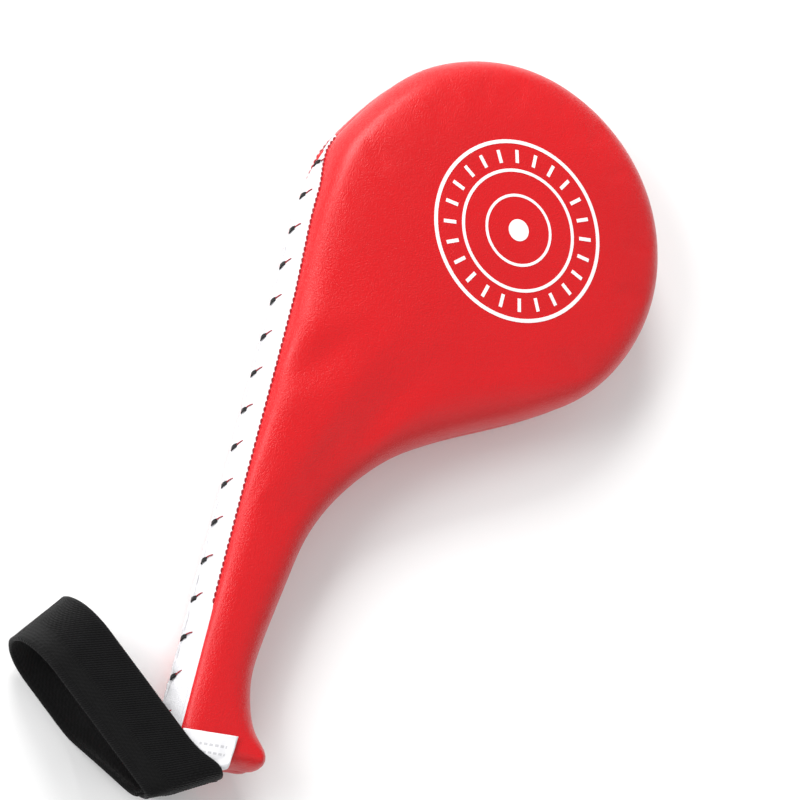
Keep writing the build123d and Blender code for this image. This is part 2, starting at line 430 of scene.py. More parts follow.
class TwistedYarn(EffectGroup):
    """Slanting plies of a twisted thread."""

    def fill(self, wiring: Wiring, source: Node, result: Node) -> None:
        """Diagonal bands with fine fibre noise."""
        plies = wiring.add(
            "ShaderNodeTexWave", wave_type="BANDS", bands_direction="DIAGONAL", i_Distortion=1.2
        )
        fibres = wiring.add("ShaderNodeTexNoise", i_Detail=4.0)
        for made, factor in ((plies, 1.0), (fibres, 4.0)):
            wiring.join(source.outputs["Vector"], made.inputs["Vector"])
            wiring.join(wiring.maths("MULTIPLY", source.outputs["Scale"], factor), made.inputs["Scale"])
        height = wiring.maths("MULTIPLY_ADD", fibres.outputs["Fac"], 0.35, plies.outputs["Fac"])
        wiring.join(height, result.inputs["Height"])
        wiring.join(plies.outputs["Fac"], result.inputs["Mask"])


class RibbedWeave(EffectGroup):
    """Crosswise ribs of elastic webbing, each broken into short picks, with corded edges."""

    def fill(self, wiring: Wiring, source: Node, result: Node) -> None:
        """Ribs along U, picks along V, both in metres on the band's own map."""
        split = wiring.add("ShaderNodeSeparateXYZ")
        wiring.join(source.outputs["Vector"], split.inputs[0])
        along, across = split.outputs[0], split.outputs[1]
        slanted = wiring.maths("MULTIPLY_ADD", across, source.outputs["Slant"], along)
        turns = wiring.maths("DIVIDE", wiring.maths("MULTIPLY", slanted, math.tau), source.outputs["Rib"])
        ribs = wiring.wave(turns)
        half = wiring.maths("MULTIPLY", turns, 0.5)
        stagger = wiring.maths("MULTIPLY", wiring.maths("SINE", half), 1.6)
        around = wiring.maths("MULTIPLY", across, math.tau)
        picks_turn = wiring.maths("DIVIDE", around, source.outputs["Pick"])
        picks = wiring.wave(wiring.maths("ADD", picks_turn, stagger))
        body = wiring.maths(
            "MULTIPLY", wiring.maths("POWER", ribs, 0.7), wiring.maths("MULTIPLY_ADD", picks, 0.45, 0.55)
        )
        edge = wiring.ramp(wiring.maths("ABSOLUTE", across), 0.0132, 0.0142)
        cord = wiring.maths("MULTIPLY", edge, 0.35)
        lowered = wiring.maths("MULTIPLY", body, wiring.maths("MULTIPLY_ADD", edge, -0.5, 1.0))
        height = wiring.maths("ADD", lowered, cord)
        wiring.join(height, result.inputs["Height"])
        wiring.join(body, result.inputs["Mask"])
        wiring.join(edge, result.inputs["Selvage"])


GRAIN = PressedGrain("pressed_grain", (("Scale", 900.0), ("Pores", 0.3)), ("Height", "Mask"))
DRIFT = SlowDrift("slow_drift", (("Scale", 12.0),), ("Broad", "Patchy"))
SEAM_SHADE = SeamShade("painted_seam_shade", (("Reach", 0.006),), ("Band", "PaintedShade"))
YARN = TwistedYarn("twisted_yarn", (("Scale", 900.0),), ("Height", "Mask"))
WEAVE = RibbedWeave(
    "ribbed_weave", (("Rib", 0.0011), ("Pick", 0.0016), ("Slant", 0.12)), ("Height", "Mask", "Selvage")
)


@dataclass(frozen=True)
class Finish:
    """What a piece is made of: a named material with its colours and gloss."""

    name: str
    colour: Colour
    roughness: float = 0.5

    def material(self) -> bpy.types.Material:
        """The finish's material, built on first use."""
        found = bpy.data.materials.get(self.name)
        if found:
            return found
        made = bpy.data.materials.new(self.name)
        made.use_nodes = True
        wiring = Wiring(made.node_tree)
        shader = made.node_tree.nodes["Principled BSDF"]
        place = wiring.add("ShaderNodeTexCoord")
        self.dress(wiring, shader, place)
        return made

    def shade(self, factor: float) -> Shade:
        """The finish's colour, darker or lighter by a factor."""
        return tuple(min(1.0, part * factor) for part in self.colour) + (1.0,)

    def bump(self, wiring: Wiring, shader: Node, layers: list[tuple[Socket, float, float]]) -> None:
        """Stacks bumps on the shader's normal.

        Args:
            wiring: the material's nodes.
            shader: the Principled shader.
            layers: height socket, strength and depth in metres of each bump.
        """
        last = None
        for height, strength, depth in layers:
            made = wiring.add("ShaderNodeBump", i_Strength=strength, i_Distance=depth)
            wiring.join(height, made.inputs["Height"])
            if last:
                wiring.join(last, made.inputs["Normal"])
            last = made.outputs["Normal"]
        wiring.join(last, shader.inputs["Normal"])

    def gloss(self, wiring: Wiring, shader: Node, mask: Socket, change: float) -> None:
        """Roughness that a mask raises or lowers by up to a given change."""
        wiring.join(wiring.maths("MULTIPLY_ADD", mask, change, self.roughness), shader.inputs["Roughness"])

    def dress(self, wiring: Wiring, shader: Node, place: Node) -> None:
        """Adds the finish's own nodes."""
        raise NotImplementedError


@dataclass(frozen=True)
class CoatedFabric(Finish):
    """Polyurethane-coated fabric: satin gloss, fine pressed grain, painted shade beside the seams."""

    sheen: float = 0.24
    grain: float = 1500.0
    # Darker colour of the painted shade beside the seams, and how much of it is mixed in.
    seam_shade_colour: Colour = (0.5, 0.1, 0.1)
    seam_shade: float = 0.35
    pressed: float = 0.6

    def dress(self, wiring: Wiring, shader: Node, place: Node) -> None:
        """Grain, slow dye drift and a band of painted shade beside the seams."""
        spot = place.outputs["Object"]
        grain = GRAIN.place(wiring, spot, Scale=self.grain, Pores=0.35)
        drift = DRIFT.place(wiring, spot, Scale=11.0)
        seam_shade = SEAM_SHADE.place(wiring, spot, Reach=0.0045)
        base = wiring.blend(drift.outputs["Broad"], self.shade(0.93), self.shade(1.05))
        base = wiring.blend(wiring.maths("MULTIPLY", drift.outputs["Patchy"], 0.12), base, self.shade(0.8))
        # Painted shade: the colour darkens towards the seam colour beside each seam.
        base = wiring.blend(wiring.maths("MULTIPLY", seam_shade.outputs["PaintedShade"], self.seam_shade), base, (*self.seam_shade_colour, 1.0))
        deep = wiring.maths("MULTIPLY", wiring.maths("SUBTRACT", 1.0, grain.outputs["Mask"]), 0.2)
        base = wiring.blend(deep, base, self.shade(0.7))
        wiring.join(base, shader.inputs["Base Color"])
        gloss = wiring.maths("MULTIPLY_ADD", drift.outputs["Patchy"], 0.09, self.roughness - 0.04)
        gloss = wiring.maths("MULTIPLY_ADD", grain.outputs["Mask"], -0.05, gloss)
        gloss = wiring.maths("MULTIPLY_ADD", seam_shade.outputs["Band"], 0.08, gloss)
        wiring.join(gloss, shader.inputs["Roughness"])
        shader.inputs["Coat Roughness"].default_value = 0.27
        shader.inputs["Coat Weight"].default_value = self.sheen
        shader.inputs["Specular IOR Level"].default_value = 0.3
        self.bump(wiring, shader, [
            (drift.outputs["Patchy"], 0.25, 0.0004),
            (grain.outputs["Height"], self.pressed, 0.0004),
        ])


@dataclass(frozen=True)
class Thread(Finish):
    """Twisted sewing thread."""

    plies: float = 1400.0

    def dress(self, wiring: Wiring, shader: Node, place: Node) -> None:
        """Plies in colour and height, darker between them."""
        yarn = YARN.place(wiring, place.outputs["Object"], Scale=self.plies)
        base = wiring.blend(yarn.outputs["Mask"], self.shade(0.55), self.shade(1.2))
        wiring.join(base, shader.inputs["Base Color"])
        self.gloss(wiring, shader, yarn.outputs["Mask"], -0.15)
        shader.inputs["Specular IOR Level"].default_value = 0.25
        self.bump(wiring, shader, [(yarn.outputs["Height"], 0.6, 0.0002)])


@dataclass(frozen=True)
class ElasticWebbing(Finish):
    """Black elastic webbing with crosswise ribs and corded edges."""

    def dress(self, wiring: Wiring, shader: Node, place: Node) -> None:
        """Ribs from the band's own map, lint and a soft sheen."""
        weave = WEAVE.place(wiring, place.outputs["UV"], Rib=0.0012, Pick=0.0017, Slant=0.22)
        drift = DRIFT.place(wiring, place.outputs["Object"], Scale=30.0)
        base = wiring.blend(weave.outputs["Mask"], self.shade(0.35), self.shade(1.6))
        base = wiring.blend(wiring.maths("MULTIPLY", drift.outputs["Patchy"], 0.3), base, self.shade(2.2))
        wiring.join(base, shader.inputs["Base Color"])
        self.gloss(wiring, shader, weave.outputs["Selvage"], -0.2)
        shader.inputs["Sheen Weight"].default_value = 0.08
        shader.inputs["Sheen Roughness"].default_value = 0.4
        shader.inputs["Specular IOR Level"].default_value = 0.12
        self.bump(wiring, shader, [(weave.outputs["Height"], 0.75, 0.0005)])


@dataclass(frozen=True)
class SatinTape(Finish):
    """Woven satin label with faint grey care bars."""

    ink: float = 0.38

    def dress(self, wiring: Wiring, shader: Node, place: Node) -> None:
        """Fine warp threads and two rows of short printed bars on the label's own map."""
        split = wiring.add("ShaderNodeSeparateXYZ")
        wiring.join(place.outputs["UV"], split.inputs[0])
        across, down = split.outputs[0], split.outputs[1]
        warp = wiring.wave(wiring.maths("MULTIPLY", across, 16000.0))
        weft = wiring.wave(wiring.maths("MULTIPLY", down, 11000.0))
        cloth = wiring.maths("MULTIPLY_ADD", weft, 0.4, warp)
        rows = None
        for low, high in ((0.0052, 0.0062), (0.0088, 0.0096), (0.0142, 0.0152)):
            starts, ends = wiring.ramp(down, low - 0.0002, low), wiring.ramp(down, high + 0.0002, high)
            bar = wiring.maths("MULTIPLY", starts, ends)
            rows = bar if rows is None else wiring.maths("MAXIMUM", rows, bar)
        dashes = wiring.ramp(wiring.maths("SINE", wiring.maths("MULTIPLY", across, 2300.0)), -0.6, -0.4)
        left, right = wiring.ramp(across, 0.0085, 0.0088), wiring.ramp(across, 0.0225, 0.0222)
        margin = wiring.maths("MULTIPLY", left, right)
        ink = wiring.maths("MULTIPLY", wiring.maths("MULTIPLY", rows, dashes), margin)
        drift = DRIFT.place(wiring, place.outputs["Object"], Scale=60.0)
        soiled = wiring.maths("MULTIPLY", drift.outputs["Patchy"], 0.12)
        base = wiring.blend(soiled, self.shade(1.0), self.shade(0.82))
        base = wiring.blend(wiring.maths("MULTIPLY", ink, self.ink), base, (0.16, 0.16, 0.18, 1.0))
        wiring.join(base, shader.inputs["Base Color"])
        self.gloss(wiring, shader, warp, 0.12)
        shader.inputs["Sheen Weight"].default_value = 0.3
        self.bump(wiring, shader, [(cloth, 0.3, 0.00008)])


@dataclass(frozen=True)
class PrintInk(Finish):
    """Matt screen-print ink lying on the coated fabric."""

    def dress(self, wiring: Wiring, shader: Node, place: Node) -> None:
        """Thin in spots, with the fabric's grain showing through."""
        spot = place.outputs["Object"]
        grain = GRAIN.place(wiring, spot, Scale=1500.0, Pores=0.4)
        drift = DRIFT.place(wiring, spot, Scale=55.0)
        valleys = wiring.maths("SUBTRACT", 1.0, grain.outputs["Mask"])
        thin = wiring.maths("MULTIPLY", valleys, drift.outputs["Patchy"])
        base = wiring.blend(wiring.maths("MULTIPLY", thin, 0.3), self.shade(1.0), (0.83, 0.45, 0.45, 1.0))
        wiring.join(base, shader.inputs["Base Color"])
        self.gloss(wiring, shader, drift.outputs["Broad"], 0.1)
        self.bump(wiring, shader, [(grain.outputs["Height"], 0.2, 0.0002)])


@dataclass(frozen=True)
class CellFoam(Finish):
    """Open-cell foam or firm moulded foam."""

    cells: float = 700.0

    def dress(self, wiring: Wiring, shader: Node, place: Node) -> None:
        """Dark pores in a pale matrix."""
        spot = place.outputs["Object"]
        grain = GRAIN.place(wiring, spot, Scale=self.cells, Pores=0.6)
        drift = DRIFT.place(wiring, spot, Scale=25.0)
        base = wiring.blend(grain.outputs["Mask"], self.shade(0.5), self.shade(1.05))
        base = wiring.blend(wiring.maths("MULTIPLY", drift.outputs["Broad"], 0.2), base, self.shade(0.75))
        wiring.join(base, shader.inputs["Base Color"])
        self.gloss(wiring, shader, grain.outputs["Mask"], 0.1)
        self.bump(wiring, shader, [(grain.outputs["Height"], 0.7, 0.0008)])


@dataclass(frozen=True)
class PressedBoard(Finish):
    """Compressed fibre board."""

    def dress(self, wiring: Wiring, shader: Node, place: Node) -> None:
        """Short fibres drawn out along the board."""
        stretch = wiring.add("ShaderNodeMapping", i_Scale=(260.0, 60.0, 260.0))
        wiring.join(place.outputs["Object"], stretch.inputs["Vector"])
        fibres = wiring.add("ShaderNodeTexNoise", i_Scale=1.0, i_Detail=8.0, i_Roughness=0.65)
        wiring.join(stretch.outputs["Vector"], fibres.inputs["Vector"])
        mask = wiring.ramp(fibres.outputs["Fac"], 0.35, 0.65)
        drift = DRIFT.place(wiring, place.outputs["Object"], Scale=20.0)
        base = wiring.blend(mask, self.shade(0.7), self.shade(1.1))
        base = wiring.blend(wiring.maths("MULTIPLY", drift.outputs["Broad"], 0.25), base, self.shade(0.6))
        wiring.join(base, shader.inputs["Base Color"])
        self.gloss(wiring, shader, mask, -0.12)
        self.bump(wiring, shader, [(mask, 0.4, 0.0003)])


@dataclass(frozen=True)
class PaperSweep(Finish):
    """Pale studio paper under the paddle."""

    def dress(self, wiring: Wiring, shader: Node, place: Node) -> None:
        """Almost even, with a trace of tooth."""
        drift = DRIFT.place(wiring, place.outputs["Object"], Scale=6.0)
        base = wiring.blend(drift.outputs["Broad"], self.shade(0.99), self.shade(1.0))
        wiring.join(base, shader.inputs["Base Color"])
        shader.inputs["Roughness"].default_value = self.roughness
        shader.inputs["Specular IOR Level"].default_value = 0.1


# The darker seam colours given here are painted shade beside the seams.
RED = CoatedFabric("red_coated_fabric", (0.63, 0.0012, 0.005), 0.37, seam_shade_colour=(0.42, 0.01, 0.02))
WHITE = CoatedFabric(
    "white_coated_fabric", (0.74, 0.74, 0.765), 0.4, seam_shade_colour=(0.5, 0.49, 0.52), seam_shade=0.4, pressed=0.3
)
RED_THREAD = Thread("dark_red_thread", (0.36, 0.004, 0.01), 0.6)
BLACK_THREAD = Thread("black_lacing_thread", (0.012, 0.012, 0.013), 0.65, plies=900.0)
WEBBING = ElasticWebbing("black_elastic_webbing", (0.0038, 0.0038, 0.004), 0.85)
SATIN = SatinTape("white_satin_label", (0.86, 0.86, 0.88), 0.42)
INK = PrintInk("white_print_ink", (0.88, 0.87, 0.88), 0.5)
SOFT_FOAM = CellFoam("soft_foam", (0.72, 0.68, 0.5), 0.85, cells=900.0)
FIRM_FOAM = CellFoam("firm_foam", (0.16, 0.17, 0.19), 0.75, cells=1600.0)
BOARD = PressedBoard("core_board_fibre", (0.33, 0.2, 0.1), 0.7)
PAPER = PaperSweep("pale_paper", (0.96, 0.96, 0.96), 0.9)


# --- Shape of the paddle ---------------------------------------------------------------
@dataclass(frozen=True)
class Outline:
    """Outline of the paddle at its middle seam."""

    head_r: float = 87.8
    spine_x: float = -102.0
    crown_y: float = -36.0
    throat: Point = (39.5, -204.0)
    throat_r: float = 100.0
    taper: float = 8.0
    waist_run: float = 54.0
    flare_r: float = 40.0
    flare_turn: float = 44.0
    butt_slope: float = 24.0
    butt_corner: Point = (-102.0, -309.5)
    corner_r: Point = (5.0, 6.5)
    step: float = 1.8
    fullness: tuple[tuple[Point, float, float], ...] = (
        ((90.0, 10.0), 62.0, 2.4), ((0.0, 90.0), 45.0, 1.2), ((66.0, -66.0), 34.0, 1.6),
        ((-66.0, 62.0), 30.0, 1.2), ((-8.0, -116.0), 30.0, -1.6), ((-50.0, -284.0), 11.0, 3.4),
        ((-64.0, -297.0), 12.0, -2.4), ((-42.0, -147.0), 22.0, 0.4), ((-62.0, -260.0), 17.0, 2.3),
        ((-94.0, 6.0), 22.0, 1.5), ((62.0, 62.0), 38.0, 1.1), ((38.0, -84.0), 26.0, 1.4),
    )

    def rounded(self, before: Array, corner: Array, after: Array, radius: float) -> Array:
        """Rounds one corner.

        Args:
            before: a point on the way in.
            corner: the sharp corner.
            after: a point on the way out.
            radius: radius of the rounding.

        Returns:
            Points along the rounding.
        """
        go_in = (corner - before) / np.linalg.norm(corner - before)
        go_out = (after - corner) / np.linalg.norm(after - corner)
        turn = math.acos(float(np.clip(go_in @ go_out, -1, 1)))
        reach = radius * math.tan(turn / 2)
        middle = corner - go_in * reach + np.array([-go_in[1], go_in[0]]) * radius
        first = math.degrees(math.atan2(*(corner - go_in * reach - middle)[::-1]))
        return arc(tuple(middle), radius, first, first + math.degrees(turn))

    def loop(self) -> Array:
        """Evenly spaced points round the outline, anticlockwise from above."""
        crown_r = (self.spine_x**2 + self.crown_y**2 - self.head_r**2) / (2 * (-self.spine_x - self.head_r))
        crown = (self.spine_x + crown_r, self.crown_y)
        crown_turn = math.degrees(math.atan2(-crown[1], -crown[0]))
        gap = math.hypot(*self.throat)
        shoulder = math.degrees(math.atan2(self.throat[1], self.throat[0]))
        shoulder += math.degrees(math.acos((self.head_r + self.throat_r) / gap))
        waist_turn = 180 - self.taper
        neck = polar(self.throat, self.throat_r, waist_turn)
        waist = polar(neck, self.waist_run, 270 - self.taper)
        flare = polar(waist, self.flare_r, -self.taper)
        flare_end = np.array(polar(flare, self.flare_r, waist_turn + self.flare_turn))
        heading = math.radians(270 - self.taper + self.flare_turn)
        slope = math.radians(self.butt_slope)
        ways = np.array([[math.cos(heading), -math.cos(slope)], [math.sin(heading), -math.sin(slope)]])
        reach = np.linalg.solve(ways, np.array(self.butt_corner) - flare_end)[0]
        right = flare_end + reach * np.array([math.cos(heading), math.sin(heading)])
        left = np.array(self.butt_corner)
        points = np.vstack([
            arc((0, 0), self.head_r, shoulder, crown_turn),
            arc(crown, crown_r, crown_turn, 180),
            self.rounded(np.array([self.spine_x, self.crown_y]), left, right, self.corner_r[0]),
            self.rounded(left, right, flare_end, self.corner_r[1]),
            arc(flare, self.flare_r, waist_turn + self.flare_turn, waist_turn),
            arc(self.throat, self.throat_r, waist_turn, shoulder + 180),
        ])
        return self.filled_out(softened(spaced(points, self.step, True), 2))

    def filled_out(self, loop: Array) -> Array:
        """Lets the stuffed cover stand out, or draw in, where the padding makes it."""
        push = np.zeros(len(loop))
        for at, reach, amount in self.fullness:
            push += amount * np.exp(-(np.linalg.norm(loop - np.array(at), axis=1) / reach) ** 2)
        return loop - self.inward(loop) * push[:, None]

    def inward(self, loop: Array) -> Array:
        """Unit normals of the loop that point into the paddle."""
        along = np.roll(loop, -1, axis=0) - np.roll(loop, 1, axis=0)
        along /= np.linalg.norm(along, axis=1, keepdims=True)
        return np.stack([-along[:, 1], along[:, 0]], axis=1)


@dataclass(frozen=True)
class Dent:
    """Soft hollow or swelling of the padding on the striking side."""

    at: Point
    reach: Point
    depth: float
    turn: float = 0.0

    def lift(self, points: Array) -> Array:
        """Change of height at each point."""
        turn = math.radians(self.turn)
        dx, dy = points[:, 0] - self.at[0], points[:, 1] - self.at[1]
        along = dx * math.cos(turn) + dy * math.sin(turn)
        across = dy * math.cos(turn) - dx * math.sin(turn)
        return -self.depth * np.exp(-((along / self.reach[0]) ** 2) - (across / self.reach[1]) ** 2)


@dataclass
class PaddedForm:
    """Section rule of the padded shape all round its outline."""

    outline: Outline = field(default_factory=Outline)
    mid_z: float = 22.0
    head_half: float = 22.0
    handle_half: float = 17.0
    neck: Point = (-97.0, -177.0)
    head_depth: float = 22.5
    handle_depth: float = 15.5
    butt_depth: float = 8.0
    head_roundness: float = 2.7
    handle_roundness: float = 2.25
    butt_roundness: float = 2.6
    border_height: float = 12.6
    border_depth: float = 6.3
    band_fade: tuple[Point, ...] = ((-400.0, 1.0), (-70.0, 1.0), (-12.0, 0.72), (14.0, 0.0), (120.0, 0.0))
    crown: float = 2.0
    softness: float = 0.35
    dents: tuple[Dent, ...] = (
        Dent((-82.0, -104.0), (22.0, 10.0), 1.5, 35.0),
        Dent((-82.0, -82.0), (24.0, 12.0), -1.0, 30.0),
        Dent((-50.0, -124.0), (34.0, 11.0), 1.6, 62.0),
        Dent((-66.0, -150.0), (30.0, 10.0), 0.8, 78.0),
        Dent((30.0, -62.0), (46.0, 10.0), 0.9, 22.0),
    )
    steps: int = 20

    def __post_init__(self) -> None:
        """Works out the loop and its depth and border once."""
        self.loop = self.outline.loop()
        self.normals = self.outline.inward(self.loop)
        self.depth = self.depths()
        self.roundness = self.roundnesses()
        self.factor = self.border_factor()
        self.start_a = np.minimum(self.border_depth * self.factor, 0.45 * self.depth)
        self.start_b = self.border_height * self.factor

    def half_height(self, y: Array) -> Array:
        """Half thickness at a place along the paddle."""
        share = eased((np.asarray(y) - self.neck[1]) / (self.neck[0] - self.neck[1]))
        return self.handle_half + (self.head_half - self.handle_half) * share

    def room(self) -> Array:
        """Radius of the largest circle that touches each outline point from inside."""
        gaps = self.loop[None, :, :] - self.loop[:, None, :]
        ahead = 2 * (gaps * self.normals[:, None, :]).sum(axis=2)
        square = (gaps**2).sum(axis=2)
        radius = np.where(ahead > 1e-3, square / np.maximum(ahead, 1e-3), 1e6)
        return radius.min(axis=1)

    def depths(self) -> Array:
        """How far in from the edge the rounding reaches, at each outline point."""
        y = self.loop[:, 1]
        head = eased((y - self.neck[1]) / (self.neck[0] - self.neck[1]))
        wanted = self.handle_depth + (self.head_depth - self.handle_depth) * head
        near_butt = eased((y + 300.0) / 24.0)
        wanted = self.butt_depth + (wanted - self.butt_depth) * near_butt
        held = np.minimum(wanted, 0.9 * self.room())
        return np.minimum(softened(held, 4), 0.93 * self.room())

    def roundnesses(self) -> Array:
        """How square the section is at each outline point; 2 is an ellipse."""
        y = self.loop[:, 1]
        head = eased((y - self.neck[1]) / (self.neck[0] - self.neck[1]))
        wanted = self.handle_roundness + (self.head_roundness - self.handle_roundness) * head
        return self.butt_roundness + (wanted - self.butt_roundness) * eased((y + 306.0) / 30.0)

    def border_factor(self) -> Array:
        """Share of the white border's full height at each outline point."""
        heights, shares = zip(*self.band_fade)
        share = np.interp(self.loop[:, 1], heights, shares)
        share *= (self.loop[:, 0] < -55) & (self.normals[:, 0] > 0.55)
        corner = (self.loop[:, 1] < -280) & (self.normals[:, 0] > 0.2)
        share = np.where(corner, eased((self.normals[:, 0] - 0.62) / 0.34), share)
        return np.where(softened(share, 2) < 0.004, 0.0, softened(share, 2))

    def section(self, turn: float, inset: float = 0.0) -> tuple[Array, Array]:
        """Panel section at one step from its edge to the flat face.

        Args:
            turn: 0 at the edge, 1 where the face is flat.
            inset: how far inside the cover the section lies.

        Returns:
            Distance in from the edge and share of the remaining height, per outline point.
        """
        angle = min(turn, 0.99999) * math.pi / 2
        power = 2 / self.roundness
        run = 1 - math.cos(angle) ** power
        rise = math.sin(angle) ** power
        depth = self.start_a + (self.depth - self.start_a) * run
        return depth + inset * (1 - run), rise

    def place(self, a: Array, b: Array, side: Side) -> Array:
        """Points at distances in from the outline and away from the middle plane."""
        flat = self.loop + self.normals * a[:, None]
        return np.column_stack([flat, self.mid_z + side.value * b])

    def fill(self, ring: Array, spacing: float) -> tuple[Array, Faces]:
        """Fills the flat middle inside a ring.

        Args:
            ring: points of the innermost ring.
            spacing: distance between the new points.

        Returns:
            The new points in the plane, and triangles that number the ring first.
        """
        low, high = ring[:, :2].min(axis=0), ring[:, :2].max(axis=0)
        rows = np.arange(low[1], high[1], spacing * 0.866)
        spots = np.array([
            (x + (row % 2) * spacing / 2, y)
            for row, y in enumerate(rows)
            for x in np.arange(low[0], high[0], spacing)
        ])
        spots = spots[inside(spots, ring[:, :2])]
        spots = spots[nearest(spots, ring) > 0.62 * spacing]
        flat = np.vstack([ring[:, :2], spots])
        rim = [(k, (k + 1) % len(ring)) for k in range(len(ring))]
        made = geometry.delaunay_2d_cdt([Vector(p) for p in flat.tolist()], rim, [], 1, 1e-4)
        origin = [group[0] if group else -1 for group in made[3]]
        faces = [tuple(origin[c] for c in face) for face in made[2]]
        return spots, [face for face in faces if -1 not in face]

    def swell(self, points: Array, side: Side) -> Array:
        """Lets the face crown and undulate as soft padding does.

        Args:
            points: points on the padded shape.
            side: which half they belong to.

        Returns:
            The moved points.
        """
        moved = points.copy()
        top = self.half_height(points[:, 1])
        rise = np.clip(np.abs(points[:, 2] - self.mid_z) / top, 0, 1)
        free = eased((rise - 0.45) / 0.55)
        rough = np.array([
            noise.noise(Vector(p) * 0.024 + Vector((3.1, 7.7, side.value)))
            + 0.45 * noise.noise(Vector(p) * 0.062 + Vector((1.3, 2.9, side.value)))
            for p in points.tolist()
        ])
        if side is Side.FRONT:
            inner = eased((nearest(points[:, :2], self.loop) - 8.0) / 62.0)
            lift = self.crown * inner + self.softness * rough * (0.3 + 0.7 * (1 - inner))
            for dent in self.dents:
                lift += dent.lift(points)
            moved[:, 2] += lift * free
        else:
            moved[:, 2] += 0.5 * self.softness * np.clip(rough, 0, 1) * free
            moved[:, 2] = np.maximum(moved[:, 2], 0.0)
        return moved


